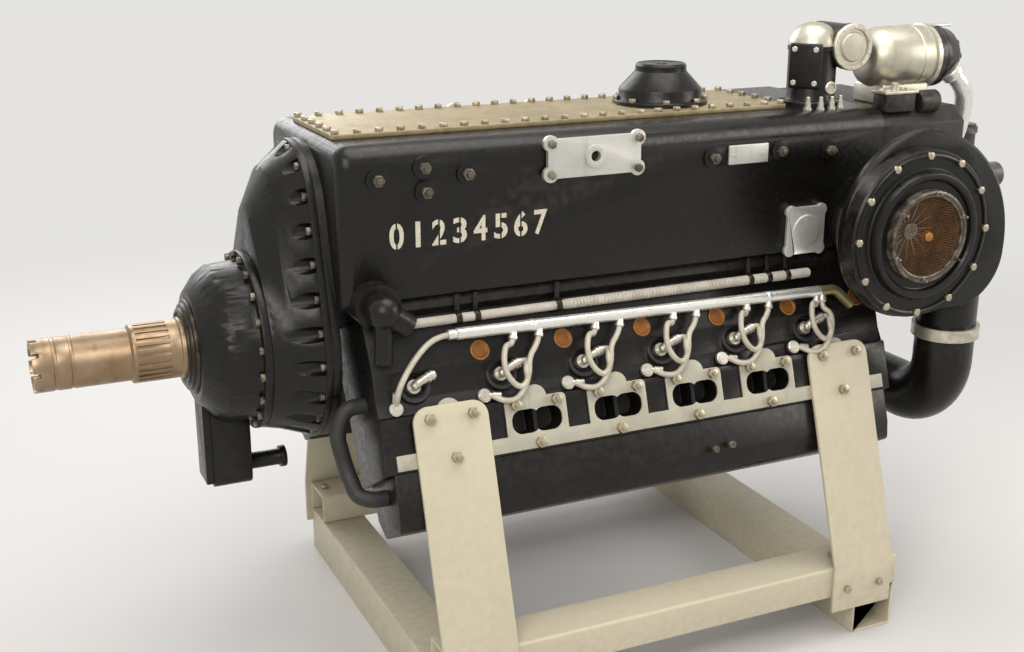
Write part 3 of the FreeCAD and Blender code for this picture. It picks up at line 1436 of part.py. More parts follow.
wheelPhase = math.pi / size["wheelTeeth"]
keep("reduction_gear", shaped("wheel_solid", gearWheel(
    int(size["wheelTeeth"]), wheelPhase, size["shaftSeatRadius"], size["shaftHeight"], True)))
keep("crankshaft_pinion", shaped("pinion_solid", gearWheel(
    int(size["pinionTeeth"]), math.pi, size["journalRadius"] - 5, size["crankHeight"], False)))


# Crankshaft with six throws 120 degrees apart, mirrored about its middle
THROW_ANGLES = (0, 120, 240, 240, 120, 0)


def throwDirection(angle):
    turn = math.radians(angle)
    return Vector(0, -math.sin(turn), -math.cos(turn))


def cheek(x, direction):
    # A crank cheek: two circles joined by their tangents
    journal = size["journalRadius"] + 6
    pin = size["pinRadius"] + 6
    throw = size["throw"]
    lean = math.acos((journal - pin) / throw)
    sideways = direction.cross(ALONG_X)
    up = direction * math.cos(lean) + sideways * math.sin(lean)
    down = direction * math.cos(lean) - sideways * math.sin(lean)
    heart = Vector(x, 0, size["crankHeight"])
    far = heart + direction * throw
    edges = [
        Part.Arc(heart + down * journal, heart - direction * journal, heart + up * journal).toShape(),
        Part.makeLine(heart + up * journal, far + up * pin),
        Part.Arc(far + up * pin, far + direction * pin, far + down * pin).toShape(),
        Part.makeLine(far + down * pin, heart + down * journal),
    ]
    return Part.Face(Part.Wire(edges)).extrude(Vector(size["cheekThickness"], 0, 0))


def crankshaft():
    pitch = size["cylinderPitch"]
    height = size["crankHeight"]
    thick = size["cheekThickness"]
    bearing = size["webThickness"] / 2 + 4
    pieces = []
    for x in webSpots():
        pieces.append(Part.makeCylinder(size["journalRadius"], 2 * bearing, Vector(x - bearing, 0, height), ALONG_X))
    for x, angle in zip(portSpots(), THROW_ANGLES):
        direction = throwDirection(angle)
        front = x - pitch / 2 + bearing
        rear = x + pitch / 2 - bearing
        pieces.append(cheek(front, direction))
        pieces.append(cheek(rear - thick, direction))
        pieces.append(Part.makeCylinder(size["pinRadius"], rear - front - 2 * thick,
                                        Vector(front + thick, 0, height) + direction * size["throw"], ALONG_X))
    nose = size["journalRadius"] - 5
    start = size["gearFront"]
    pieces.append(Part.makeCylinder(nose, webSpots()[0] - bearing - start, Vector(start, 0, height), ALONG_X))
    return pieces[0].fuse(pieces[1:])


keep("crankshaft", shaped("crankshaft_solid", crankshaft()))


# Camshafts with a pair of lobes for each cylinder
def camLobe(x, width, angle):
    base = size["camRadius"] + 3
    lift = size["camLift"]
    nose = base / 2
    reach = base + lift - nose
    turn = math.radians(angle)
    direction = Vector(0, math.sin(turn), math.cos(turn))
    sideways = direction.cross(ALONG_X)
    lean = math.acos((base - nose) / reach)
    up = direction * math.cos(lean) + sideways * math.sin(lean)
    down = direction * math.cos(lean) - sideways * math.sin(lean)
    heart = Vector(x, 0, -size["camDistance"])
    far = heart + direction * reach
    edges = [
        Part.Arc(heart + down * base, heart - direction * base, heart + up * base).toShape(),
        Part.makeLine(heart + up * base, far + up * nose),
        Part.Arc(far + up * nose, far + direction * nose, far + down * nose).toShape(),
        Part.makeLine(far + down * nose, heart + down * base),
    ]
    return Part.Face(Part.Wire(edges)).extrude(Vector(width, 0, 0))


FIRING_ANGLES = (0, 120, 240, 60, 300, 180)


def camshaft():
    heart = -size["camDistance"]
    front = webSpots()[0] - 14
    rear = webSpots()[-1] + 14
    pieces = [Part.makeCylinder(size["camRadius"], rear - front, Vector(front, 0, heart), ALONG_X)]
    half = size["webThickness"] / 2 + 2
    for x in webSpots():
        pieces.append(Part.makeCylinder(size["camJournal"], 2 * half, Vector(x - half, 0, heart), ALONG_X))
    for x, angle in zip(portSpots(), FIRING_ANGLES):
        pieces.append(camLobe(x - 40, 18, angle))
        pieces.append(camLobe(x + 22, 18, angle + 100))
    return inBank(pieces[0].fuse(pieces[1:]))


portCam = camshaft()
keep("port_camshaft", shaped("port_cam_solid", portCam))
keep("starboard_camshaft", shaped("starboard_cam_solid", flip(portCam)))


# Pistons, in pairs that rise and fall together
def pinDistance(angle):
    # Gudgeon pin from the crank axis when the throw stands this far from the bank
    turn = math.radians(angle)
    across = size["throw"] * math.sin(turn)
    return size["throw"] * math.cos(turn) + math.sqrt(size["rodLength"] ** 2 - across ** 2)


def piston(x, distance):
    crown = distance + size["compressionHeight"]
    radius = size["cylinderBore"] / 2 - size["slideGap"]
    height = size["pistonHeight"]
    wall = size["pistonWall"]
    solid = Part.makeCylinder(radius, height, Vector(x, 0, -crown), ALONG_Z)
    hollow = Part.makeCylinder(radius - wall, height, Vector(x, 0, -crown + wall), ALONG_Z)
    pin = Part.makeCylinder(size["gudgeonRadius"], 2 * radius - 4, Vector(x - radius + 2, 0, -distance), ALONG_X)
    return solid.cut(hollow).fuse(pin)


PAIRS = (("outer", (0, 5), 0), ("middle", (1, 4), 120), ("inner", (2, 3), 240))


def pistonPairs():
    for label, members, angle in PAIRS:
        spots = [portSpots()[member] for member in members]
        for side, lean in (("port", -size["bankTilt"]), ("starboard", size["bankTilt"])):
            distance = pinDistance(angle - lean)
            pair = [inBank(piston(x, distance)) for x in spots]
            if side == "starboard":
                pair = [flip(solid) for solid in pair]
            keep(f"{side}_{label}_pistons", shaped(f"{side}_{label}_pair", Part.makeCompound(pair)))


pistonPairs()


# Supercharger: casing, front cover, intake ring and screen, impeller
def discProfile(name, points):
    body = newBody(name)
    sketch = outline(body, "XY_Plane", points)
    revolve(body, sketch, "V_Axis")
    return shift(body, "dim.superX", "0", "dim.superZ")


def scrollWire(y, inset):
    # Four quarter circles whose radius grows from the bottom over the top to the rear side
    left = size["scrollLeft"]
    top = size["scrollTop"]
    right = size["scrollRight"]
    bottom = size["scrollBottom"]
    first = size["scrollRadius"]
    last = size["scrollLastRadius"]
    heart = size["scrollHeart"]
    firstX = left + first
    upper = bottom + first
    second = heart - left
    lower = bottom + last

    def point(x, z):
        return Vector(x, y, z)

    def quarter(x, z, wide, high, start):
        # From one side of an axis-aligned quarter of an ellipse to the next, clockwise
        wide -= inset
        high -= inset
        points = []
        for step in range(3):
            turn = math.radians(start - 45 * step)
            points.append(point(x + wide * math.cos(turn), z + high * math.sin(turn)))
        return points

    quarters = (
        (firstX, upper, first, first, 270),
        (heart, upper, second, top - upper, 180),
        (heart, lower, right - heart, top - lower, 90),
        (right - last, lower, last, last, 0),
    )
    edges = []
    ends = []
    for x, z, wide, high, start in quarters:
        points = quarter(x, z, wide, high, start)
        edges.append(Part.Arc(*points).toShape())
        ends.append((points[0], points[2]))
    chain = []
    for index, edge in enumerate(edges):
        chain.append(edge)
        gap = (ends[index][1], ends[(index + 1) % 4][0])
        if (gap[0] - gap[1]).Length > 1e-6:
            chain.append(Part.makeLine(*gap))
    return Part.Wire(chain)


def scrollSolid(back, front, inset):
    face = Part.Face(scrollWire(back, inset))
    return face.extrude(Vector(0, front - back, 0))


def superCasing():
    back = size["superBack"]
    front = size["superFace"]
    knee = size["scrollKnee"]
    taper = size["scrollTaper"]
    wall = size["superWall"]
    bowl = Part.makeLoft([scrollWire(knee, 0), scrollWire(back, taper)], True, True)
    rim = Part.makeLoft([scrollWire(front, size["scrollRound"]), scrollWire(front + size["scrollRound"], 0)], True, True)
    outside = bowl.fuse([rim, scrollSolid(knee, front + size["scrollRound"], 0)])
    inside = Part.makeLoft([scrollWire(knee, wall), scrollWire(back - wall, wall + taper * 0.9)], True, True)
    inside = inside.fuse(scrollSolid(knee, front + wall, wall))
    centre = Vector(size["superX"], 0, size["superZ"])
    mouth = Part.makeCylinder(size["superMouth"] - 8, wall + 2, centre + ALONG_Y * (front - 1), ALONG_Y)
    hub = sleeve(centre + ALONG_Y * (back - 1), -size["caseHalf"] - back + 1,
                 size["impellerShaft"] + size["shaftGap"], size["superNeck"], ALONG_Y)
    bearing = Part.makeCylinder(size["impellerShaft"] + size["shaftGap"], wall + 2,
                                centre + ALONG_Y * (back - wall - 1), ALONG_Y)
    stubBase = Vector(size["outletX"], size["outletY"], size["outletEnd"])
    length = size["superZ"] - size["outletEnd"] - 40
    stub = Part.makeCylinder(size["outletRadius"], length, stubBase)
    stubBore = Part.makeCylinder(size["outletRadius"] - size["outletWall"], length, stubBase - ALONG_Z)
    deep = size["superRelief"] - size["outletEnd"]
    relief = Part.makeBox(2 * size["superNeck"] + 20, -size["caseHalf"] - back + 10, deep,
                          Vector(size["superX"] - size["superNeck"] - 10, back, size["superRelief"] - deep))
    whole = outside.fuse([hub, stub]).cut(inside.fuse([mouth, bearing, stubBore]))
    return whole.cut(relief).removeSplitter()


keep("supercharger_casing", shaped("casing_solid", superCasing()))
keep("supercharger_cover", discProfile("super_cover_body", [
    ("dim.superRing", "dim.superFace"),
    ("dim.superRing", "dim.superRingFace + 4"),
    ("dim.superRing - 4", "dim.superRingFace"),
    ("dim.superCoverRim + 4", "dim.superRingFace"),
    ("dim.superCoverRim", "dim.superCoverFace"),
    ("dim.superCoverRim - 10", "dim.superCoverFace"),
    ("dim.intakeRing + 2", "dim.superRingFace - 6"),
    ("dim.intakeHole", "dim.superRingFace - 6"),
    ("dim.intakeHole", "dim.superRingFace + 4"),
    ("dim.superBoltCircle - 14", "dim.superRingFace + 16"),
    ("dim.superBoltCircle - 14", "dim.superFace"),
]))


def intakeRing():
    ring = discProfile("ring_body", [
        ("dim.intakeRing", "dim.superRingFace - 6"),
        ("dim.intakeRing", "dim.intakeRingFace + 2"),
        ("dim.intakeRing - 2", "dim.intakeRingFace"),
        ("dim.intakeHole", "dim.intakeRingFace"),
        ("dim.intakeHole", "dim.superRingFace - 6"),
    ])
    studs = []
    for spot in superSpots("intakeStuds", "intakeStudCircle", "intakeRingFace"):
        studs.append(Part.makeCylinder(size["studRadius"] - 1, size["intakeStudReach"] + 1, spot + ALONG_Y, -ALONG_Y))
    return fuse("ring_solid", [ring, shaped("ring_studs", Part.makeCompound(studs))])


def superSpots(count, circle, face):
    spots = []
    for index in range(int(size[count])):
        angle = math.radians(360 / size[count] * index)
        spots.append(Vector(size["superX"] + size[circle] * math.cos(angle), size[face],
                            size["superZ"] + size[circle] * math.sin(angle)))
    return spots


keep("intake_ring", intakeRing())


def intakeScreen():
    # Round screen of crossed bars in the intake ring
    radius = size["intakeHole"] - 0.1
    heart = Vector(size["superX"], size["intakeRingFace"] + 4, size["superZ"])
    rim = sleeve(heart, 4, radius - 5, radius, ALONG_Y)
    bars = []
    for step in range(-3, 4):
        offset = step * radius / 4
        half = math.sqrt(radius ** 2 - offset ** 2) - 2
        bars.append(Part.makeBox(2.4, 3, 2 * half, heart + Vector(offset - 1.2, 0, -half)))
        bars.append(Part.makeBox(2 * half, 3, 2.4, heart + Vector(-half, 0, offset - 1.2)))
    return rim.fuse(bars)


keep("intake_screen", shaped("screen_solid", intakeScreen()))


def superBolts():
    heads = [seated(smallBolt(), spot, -ALONG_Y) for spot in superSpots("superBolts", "superBoltCircle", "superRingFace")]
    return Part.makeCompound(heads)


keep("supercharger_bolts", shaped("super_bolts_solid", superBolts()))


def impeller():
    back = size["superBack"] - size["superWall"] - 6
    heart = Vector(size["superX"], back, size["superZ"])
    disc = Part.makeCylinder(size["impellerRadius"], 6, heart, -ALONG_Y)
    hub = Part.makeCone(size["impellerHub"], size["impellerHub"] / 2, 74, heart, -ALONG_Y)
    shaft = Part.makeCylinder(size["impellerShaft"], 36, heart, ALONG_Y)
    pieces = [hub, shaft]
    for index in range(int(size["impellerBlades"])):
        outline_ = Part.makePolygon([Vector(12, 0, 0), Vector(size["impellerRadius"], 0, 0),
                                     Vector(size["impellerRadius"], -34, 0), Vector(60, -66, 0), Vector(12, -66, 0),
                                     Vector(12, 0, 0)])
        blade = Part.Face(outline_).extrude(Vector(0, 0, 3))
        blade.Placement = Placement(heart, Rotation(ALONG_Y, 360 / size["impellerBlades"] * index))
        pieces.append(blade)
    return disc.fuse(pieces)


keep("impeller", shaped("impeller_solid", impeller()))


# Outlet pipe under the supercharger, its clamp, and the manifold between the banks
def outletPipe():
    x = size["outletX"]
    y = size["outletY"]
    outer = size["outletRadius"]
    inner = outer - size["outletWall"]
    bend = size["outletBend"]
    low = size["manifoldZ"]
    top = size["outletEnd"]
    down = sleeve(Vector(x, y, low + bend), top - low - bend, inner, outer, ALONG_Z)
    across = sleeve(Vector(x, y + bend, low), -y - bend - size["manifoldInlet"], inner, outer, ALONG_Y)
    ring = Part.Face([Part.Wire(Part.makeCircle(outer, Vector(x, y, low + bend), ALONG_Z)),
                      Part.Wire(Part.makeCircle(inner, Vector(x, y, low + bend), ALONG_Z))])
    elbow = ring.revolve(Vector(x, y + bend, low + bend), ALONG_X, 90)
    return down.fuse([elbow, across]).removeSplitter()


keep("outlet_pipe", shaped("outlet_pipe_solid", outletPipe()))


def outletClamp():
    start = Vector(size["outletX"], size["outletY"], size["outletEnd"] - size["clampWidth"] / 2)
    inner = size["outletRadius"] + size["fitGap"]
    return sleeve(start, size["clampWidth"], inner, inner + size["clampWall"], ALONG_Z)


keep("outlet_clamp", shaped("clamp_solid", outletClamp()))


def intakeManifold():
    radius = size["manifoldRadius"]
    z = size["manifoldZ"]
    x = size["outletX"]
    duct = Part.makeCylinder(radius, x - size["manifoldFront"], Vector(size["manifoldFront"], 0, z), ALONG_X)
    corner = Part.makeSphere(size["outletRadius"], Vector(x, 0, z))
    inlet = Part.makeCylinder(size["outletRadius"], size["manifoldInlet"], Vector(x, 0, z), -ALONG_Y)
    pieces = [corner, inlet]
    wall = size["outletWall"]
    bores = [Part.makeCylinder(radius - wall, x - size["manifoldFront"] - wall,
                               Vector(size["manifoldFront"] + wall, 0, z), ALONG_X),
             Part.makeSphere(size["outletRadius"] - wall, Vector(x, 0, z)),
             Part.makeCylinder(size["outletRadius"] - wall, size["manifoldInlet"] + 1, Vector(x, 0, z), -ALONG_Y)]
    for spot in portSpots():
        face = bankPoint(spot, size["runnerDistance"], -size["blockInner"])
        inward = Vector(0, math.cos(math.radians(size["bankTilt"])), -math.sin(math.radians(size["bankTilt"])))
        length = -face.y / inward.y
        runner = Part.makeCylinder(size["runnerRadius"], length, face, inward)
        lip = Part.makeCylinder(size["runnerRadius"] + 12, 10, face, inward)
        pieces += [runner, lip, flip(runner), flip(lip)]
        bore = Part.makeCylinder(size["runnerRadius"] - wall, length, face, inward)
        bores += [bore, flip(bore)]
    return duct.fuse(pieces).cut(bores[0].fuse(bores[1:]))


keep("intake_manifold", shaped("manifold_solid", intakeManifold()))


def injectionPump():
    half = size["pumpHalf"]
    front = size["pumpFront"]
    length = size["pumpRear"] - front
    block = Part.makeBox(length, 2 * half, size["pumpTop"] - size["pumpBottom"], Vector(front, -half, size["pumpBottom"]))
    block = block.makeFillet(16, [edge for edge in block.Edges if runs(edge, ALONG_X)])
    neck = Part.makeBox(length - 60, 2 * size["keelHalf"], size["keelBottom"] - size["pumpTop"] + 5,
                        Vector(front + 30, -size["keelHalf"], size["pumpTop"] - 5))
    stubs = []
    for index in range(6):
        x = front + length * (index + 0.5) / 6
        for side in (-1, 1):
            stubs.append(Part.makeCylinder(7, 16, Vector(x, side * (half - 4), size["pumpBottom"] + 30),
                                           Vector(0, side, -0.3)))
    return block.fuse([neck] + stubs)


keep("injection_pump", shaped("injection_solid", injectionPump()))


# Rear accessory case, starter, magneto and control tower
def accessoryCase():
    body = newBody("accessory_body")
    half = "dim.caseHalf"
    corner = "dim.auxCorner"
    sketch = outline(body, "YZ_Plane", [
        (f"-{half}", f"dim.auxTop - {corner} / 2"),
        (f"-{half}", f"dim.auxBottom + {corner}"),
        (f"-{half} + {corner} * 1.6", "dim.auxBottom"),
        (f"{half} - {corner} * 1.6", "dim.auxBottom"),
        (half, f"dim.auxBottom + {corner}"),
        (half, f"dim.auxTop - {corner} / 2"),
        (f"{half} - {corner} / 2", "dim.auxTop"),
        (f"-{half} + {corner} / 2", "dim.auxTop"),
    ], "dim.caseRear")
    pad(body, sketch, "dim.auxRear - dim.caseRear")
    rear = size["auxRear"]
    soften(body, "20", lambda edge: edge.BoundBox.XMin > rear - 0.01)
    room = box("accessory_room", "dim.auxRear - dim.caseRear - dim.caseWall", "2 * (dim.caseHalf - dim.caseWall)",
               "dim.auxTop - dim.auxBottom - 2 * dim.auxCorner - 20", "dim.caseRear", "-dim.caseHalf + dim.caseWall",
               "dim.auxBottom + dim.auxCorner + 5")
    return cut("accessory_solid", body, [room])


keep("accessory_case", accessoryCase())


def starterMotor():
    body = newBody("starter_body")
    sketch = outline(body, "XZ_Plane", [
        ("dim.auxRear", "0"),
        ("dim.auxRear", "dim.starterRadius + 12"),
        ("dim.auxRear + 14", "dim.starterRadius + 12"),
        ("dim.auxRear + 14", "dim.starterRadius"),
        ("dim.starterRear - 34", "dim.starterRadius"),
        ("dim.starterRear", "dim.starterRadius - 34"),
        ("dim.starterRear", "dim.tailRadius + 8"),
        ("dim.starterRear + 20", "dim.tailRadius"),
        ("dim.tailEnd", "dim.tailRadius"),
        ("dim.tailEnd", "0"),
    ])
    revolve(body, sketch, "H_Axis")
    shift(body, "0", "0", "dim.starterZ")
    vent = cylinder("vent_post", "dim.ventRadius", "dim.ventTop - dim.starterZ", "dim.ventX", "-dim.starterRadius / 2",
                    "dim.starterZ")
    cap = cylinder("vent_cap", "dim.ventRadius + 4", "14", "dim.ventX", "-dim.starterRadius / 2", "dim.ventTop - 20")
    room = cylinder("starter_room", "dim.starterRadius - 14", "dim.starterRear - dim.auxRear - 60", "dim.auxRear", "0",
                    "dim.starterZ", "x")
    return cut("starter_solid", fuse("starter_whole", [body, vent, cap]), [room])


keep("starter_motor", starterMotor())


def magnetoBody():
    body = newBody("magneto_turned")
    sketch = outline(body, "XZ_Plane", [
        ("dim.magnetoFront", "0"),
        ("dim.magnetoFront", "dim.magnetoRadius - 22"),
        ("dim.magnetoFront + 18", "dim.magnetoRadius - 4"),
        ("dim.magnetoFront + 60", "dim.magnetoRadius"),
        ("dim.magnetoRear - 10", "dim.magnetoRadius"),
        ("dim.magnetoRear - 10", "dim.magnetoRadius + 5"),
        ("dim.magnetoRear", "dim.magnetoRadius + 5"),
        ("dim.magnetoRear", "0"),
    ])
    revolve(body, sketch, "H_Axis")
    shift(body, "0", "dim.magnetoY", "dim.magnetoZ")
    foot = box("magneto_foot", "dim.magnetoRear - dim.magnetoFront - 44", "1.5 * dim.magnetoRadius",
               "dim.magnetoZ - dim.auxTop - 20", "dim.magnetoFront + 24", "dim.magnetoY - 0.75 * dim.magnetoRadius",
               "dim.auxTop")
    return fuse("magneto_solid", [body, foot])


keep("magneto", magnetoBody())


def magnetoCap():
    body = newBody("magneto_cap_body")
    sketch = outline(body, "XZ_Plane", [
        ("dim.magnetoRear", "0"),
        ("dim.magnetoRear", "dim.magnetoRadius"),
        ("dim.magnetoRear + 30", "dim.magnetoRadius - 4"),
        ("dim.magnetoCapEnd - 14", "dim.magnetoRadius - 16"),
        ("dim.magnetoCapEnd", "dim.magnetoRadius - 36"),
        ("dim.magnetoCapEnd", "0"),
    ])
    revolve(body, sketch, "H_Axis")
    return shift(body, "0", "dim.magnetoY", "dim.magnetoZ")


keep("magneto_cap", magnetoCap())


def magnetoConduit():
    # Thick pipe from the magneto's cap down into the back of the accessory case
    y = size["magnetoY"]
    rear = size["auxRear"]
    top = size["magnetoZ"]
    route = [(rear + 2, y - 20, top - 19), (rear + 20, y - 26, top - 39), (rear + 56, y - 30, top - 85),
             (rear + 62, y - 30, top - 145), (rear + 46, y - 30, top - 195), (rear, y - 30, top - 209)]
    pipe = tube(route, size["magnetoPipe"], 24)
    return largest(pipe.cut(nodes["magneto_cap"].Shape).cut(nodes["accessory_case"].Shape))


doc.recompute()
keep("magneto_conduit", shaped("magneto_conduit_solid", magnetoConduit()))


def controlTower():
    tower = newBody("tower_body")
    sketch = outline(tower, "XZ_Plane", [
        ("0", "dim.caseTop"),
        ("dim.controlRadius + 14", "dim.caseTop"),
        ("dim.controlRadius + 14", "dim.caseTop + 12"),
        ("dim.controlRadius", "dim.caseTop + 12"),
        ("dim.controlRadius", "dim.controlTop - 50"),
        ("dim.controlRadius - 8", "dim.controlTop - 24"),
        ("dim.controlRadius - 26", "dim.controlTop - 6"),
        ("0", "dim.controlTop"),
    ])
    revolve(tower, sketch, "V_Axis")
    shift(tower, "dim.controlX", "dim.controlY", "0")
    arm = cylinder("capsule_arm", "dim.capsuleRadius - 6", "-dim.capsuleFace - 60", "dim.capsuleX", "dim.capsuleFace",
                   "dim.capsuleZ", "y")
    flange = cylinder("capsule_flange", "dim.capsuleRadius", "10", "dim.capsuleX", "dim.capsuleFace",
                      "dim.capsuleZ", "y")
    bridge = box("capsule_bridge", "dim.capsuleX - dim.controlX", "60", "56", "dim.controlX", "dim.controlY - 30",
                 "dim.capsuleZ - 40")
    return fuse("control_solid", [tower, arm, flange, bridge])


keep("control_housing", controlTower())


def controlCover():
    body = newBody("control_cover_body")
    sketch = outline(body, "XY_Plane", [
        ("0", "dim.capsuleFace"),
        ("dim.capsuleRadius", "dim.capsuleFace"),
        ("dim.capsuleRadius", "dim.capsuleFace - 6"),
        ("dim.capsuleRadius - 14", "dim.capsuleFace - 10"),
        ("dim.capsuleRadius - 18", "dim.capsuleFace - 5"),
        ("0", "dim.capsuleFace - 7"),
    ])
    revolve(body, sketch, "V_Axis")
    return shift(body, "dim.capsuleX", "0", "dim.capsuleZ")


keep("control_cover", controlCover())


# Plates and pipes on the outside of the crankcase
def bearerPlate():
    depth = "dim.padThickness"
    back = "-dim.caseHalf - dim.padBoss - dim.padThickness"
    plate = box("plate_web", "dim.padRight - dim.padLeft", depth, "dim.padHigh - dim.padLow", "dim.padLeft", back,
                "dim.padLow")
    lobes = []
    for index, (x, z) in enumerate((("dim.padLeft + 6", "dim.padLow + 8"), ("dim.padRight - 6", "dim.padLow + 8"),
                                    ("dim.padLeft + 6", "dim.padHigh - 8"), ("dim.padRight - 6", "dim.padHigh - 8"))):
        lobes.append(cylinder(f"plate_lobe_{index}", "15", depth, x, back, z, "y"))
    middle = cylinder("plate_ring", "22", "3", "(dim.padLeft + dim.padRight) / 2", back + " - 3",
                      "(dim.padLow + dim.padHigh) / 2", "y")
    socket = cylinder("plate_socket", "dim.bearerSocket", "dim.padThickness + 5", "(dim.padLeft + dim.padRight) / 2",
                      back + " - 4", "(dim.padLow + dim.padHigh) / 2", "y")
    return cut("bearer_plate", fuse("bearer_whole", [plate, middle] + lobes), [socket])


portPlate = bearerPlate()
keep("bearer_pads", together("bearer_plates", [portPlate, mirrored("starboard_plate", portPlate)]))


def sideCover():
    face = "-dim.caseHalf - dim.sideCoverThickness"
    wide = "dim.sideCoverWidth / 2"
    high = "dim.sideCoverHeight / 2"
    plate = box("side_plate", "dim.sideCoverWidth - 8", "dim.sideCoverThickness", "dim.sideCoverHeight - 8",
                f"dim.sideCoverX - {wide} + 4", face, f"dim.sideCoverZ - {high} + 4")
    pieces = [plate]
    for index, (u, v) in enumerate(((-1, -1), (-1, 1), (1, -1), (1, 1))):
        pieces.append(cylinder(f"side_lobe_{index}", "13", "dim.sideCoverThickness",
                               f"dim.sideCoverX + {u} * ({wide} - 13)", face, f"dim.sideCoverZ + {v} * ({high} - 13)", "y"))
    pieces.append(cylinder("side_dome", "32", "4", "dim.sideCoverX", face + " - 4", "dim.sideCoverZ", "y"))
    return fuse("side_cover_solid", pieces)


keep("side_cover", sideCover())


def wrappedPipe():
    start = Vector(size["wrapFront"], size["wrapY"], size["wrapZ"])
    length = size["wrapRear"] - size["wrapFront"]
    pipe = Part.makeCylinder(size["wrapRadius"], length, start, ALONG_X)
    posts = []
    for share in (0.12, 0.5, 0.88):
        posts.append(Part.makeCylinder(6, 40, start + Vector(length * share, 4, 0), ALONG_Z))
    return pipe.fuse(posts).cut(nodes["port_cylinder_block"].Shape)


keep("wrapped_pipe", shaped("wrapped_solid", wrappedPipe()))


def coolantElbow():
    # Domed outlet at the front port corner, cut to seat on the crankcase and the block
    heart = Vector(size["elbowX"], -size["elbowReach"], size["elbowZ"])
    depth = size["elbowReach"] - 170
    flange = Part.makeCylinder(size["elbowRadius"], depth - 26, heart + Vector(0, 26, 0), ALONG_Y)
    neck = Part.makeCylinder(size["elbowRadius"] - 12, depth, heart, ALONG_Y)
    dome = Part.makeSphere(size["elbowRadius"] - 12, heart)
    branch = Part.makeCylinder(22, 46, heart + Vector(8, 0, -4), Vector(0.8, 0, -0.6))
    foot = Part.makeCylinder(17, 92, heart + Vector(0, 4, -4), Vector(0, 0.1, -1))
    whole = neck.fuse([flange, dome, branch, foot])
    rest = nodes["port_cylinder_block"].Shape
    return whole.cut(nodes["crankcase"].Shape).cut(rest)


keep("coolant_elbow", shaped("elbow_solid", largest(coolantElbow())))


def oilPump():
    front = size["oilPumpFront"]
    rear = size["oilPumpRear"]
    half = size["oilPumpHalf"]
    low = size["oilPumpBottom"]
    casing = Part.makeBox(rear - front - 14, 2 * half, 156, Vector(front + 14, -half, low))
    casing = casing.makeFillet(22, [edge for edge in casing.Edges if runs(edge, ALONG_X) and edge.BoundBox.ZMax < low + 1])
    plate = Part.makeBox(16, 2 * half - 16, size["oilPumpTop"] - low - 10, Vector(front, -half + 8, low + 10))
    stub = Part.makeCylinder(size["oilStubRadius"], size["oilStubEnd"] - rear + 6,
                             Vector(rear - 6, 0, low + 31), ALONG_X)
    collar = Part.makeCylinder(size["oilStubRadius"] + 5, 12, Vector(size["oilStubEnd"] - 12, 0, low + 31), ALONG_X)
    whole = casing.fuse([plate, stub, collar])
    whole = whole.cut(Part.makeCylinder(size["noseRadius"], size["housingFace"] - size["noseFlange"],
                                        Vector(size["noseFlange"], 0, size["shaftHeight"]), ALONG_X))
    stations = (("noseFlange", "noseDrumRadius"), ("noseShoulder", "noseShoulderRadius"), ("noseRim", "noseRimRadius"),
                ("noseFront", "noseFrontRadius"))
    for (x1, r1), (x2, r2) in zip(stations, stations[1:]):
        start = Vector(size[x1], 0, size["shaftHeight"])
        whole = whole.cut(Part.makeCone(size[r1], size[r2], size[x1] - size[x2], start, -ALONG_X))
    return largest(whole)


keep("oil_pump", shaped("oil_pump_solid", oilPump()))


def oilHose():
    # From the block's front face round to the end of the port camshaft cover
    top = bankPoint(size["blockFront"], size["valleyStart"] - 10, 20)
    end = bankPoint(size["blockFront"] + size["camCoverLip"], size["camDistance"] - 4, -4)
    route = [top, top + Vector(-38, 0, 0), top + Vector(-58, -4, -44), end + Vector(-60, 46, 48),
             end + Vector(-52, 12, 8), end + Vector(-26, 0, 0), end]
    return tube([tuple(point) for point in route], size["hoseRadius"], 18)


keep("oil_hose", shaped("oil_hose_solid", oilHose()))


# Bolts of the reduction housing, nose cover, side bosses and plates
def casingBolts():
    bolts = []
    face = size["housingBack"] - size["housingLip"]
    for index, spot in enumerate(ringSpots(face, size["pocketInset"], size["housingBolts"])):
        bolts.append(seated(smallBolt(), spot, -ALONG_X, 25 * index))
    for index in range(int(size["noseBolts"])):
        angle = math.radians(360 / size["noseBolts"] * (index + 0.5))
        radius = (size["noseRadius"] + size["noseDrumRadius"]) / 2
        if abs(radius * math.cos(angle)) > size["oilPumpHalf"] + 12 or math.sin(angle) > 0:
            spot = Vector(size["noseFlange"], radius * math.cos(angle), size["shaftHeight"] + radius * math.sin(angle))
            bolts.append(seated(smallBolt(), spot, -ALONG_X, 40 * index))
    for x, z in SIDE_BOSSES:
        spot = Vector(number(x), -size["caseHalf"] - size["bossHeight"], number(z))
        bolts.append(seated(largeNut(), spot, -ALONG_Y))
        bolts.append(flip(bolts[-1]))
    face = -size["caseHalf"] - size["padBoss"] - size["padThickness"]
    for x in (size["padLeft"] + 6, size["padRight"] - 6):
        for z in (size["padLow"] + 8, size["padHigh"] - 8):
            bolts.append(seated(smallBolt(), Vector(x, face, z), -ALONG_Y, 20))
            bolts.append(flip(bolts[-1]))
    return Part.makeCompound(bolts)


keep("casing_bolts", shaped("casing_bolts_solid", casingBolts()))

doc.recompute()


def report():
    faults = []
    for thing in doc.Objects:
        if "Invalid" in thing.State or "Error" in thing.State:
            faults.append(f"{thing.Name}: {thing.State}")
    for node, thing in nodes.items():
        shape = thing.Shape
        if shape.isNull() or not shape.isValid():
            faults.append(f"{node}: shape is not valid")
    if faults:
        raise RuntimeError("; ".join(faults))


report()
os.makedirs("parts", exist_ok=True)
for node, thing in nodes.items():
    thing.Shape.exportStep(f"parts/{node}.step")
    print(f"{node}: {len(thing.Shape.Solids)} solids, {thing.Shape.Volume / 1000:.1f} cm3")
print(len(nodes), "nodes")
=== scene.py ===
import json
import math
import random

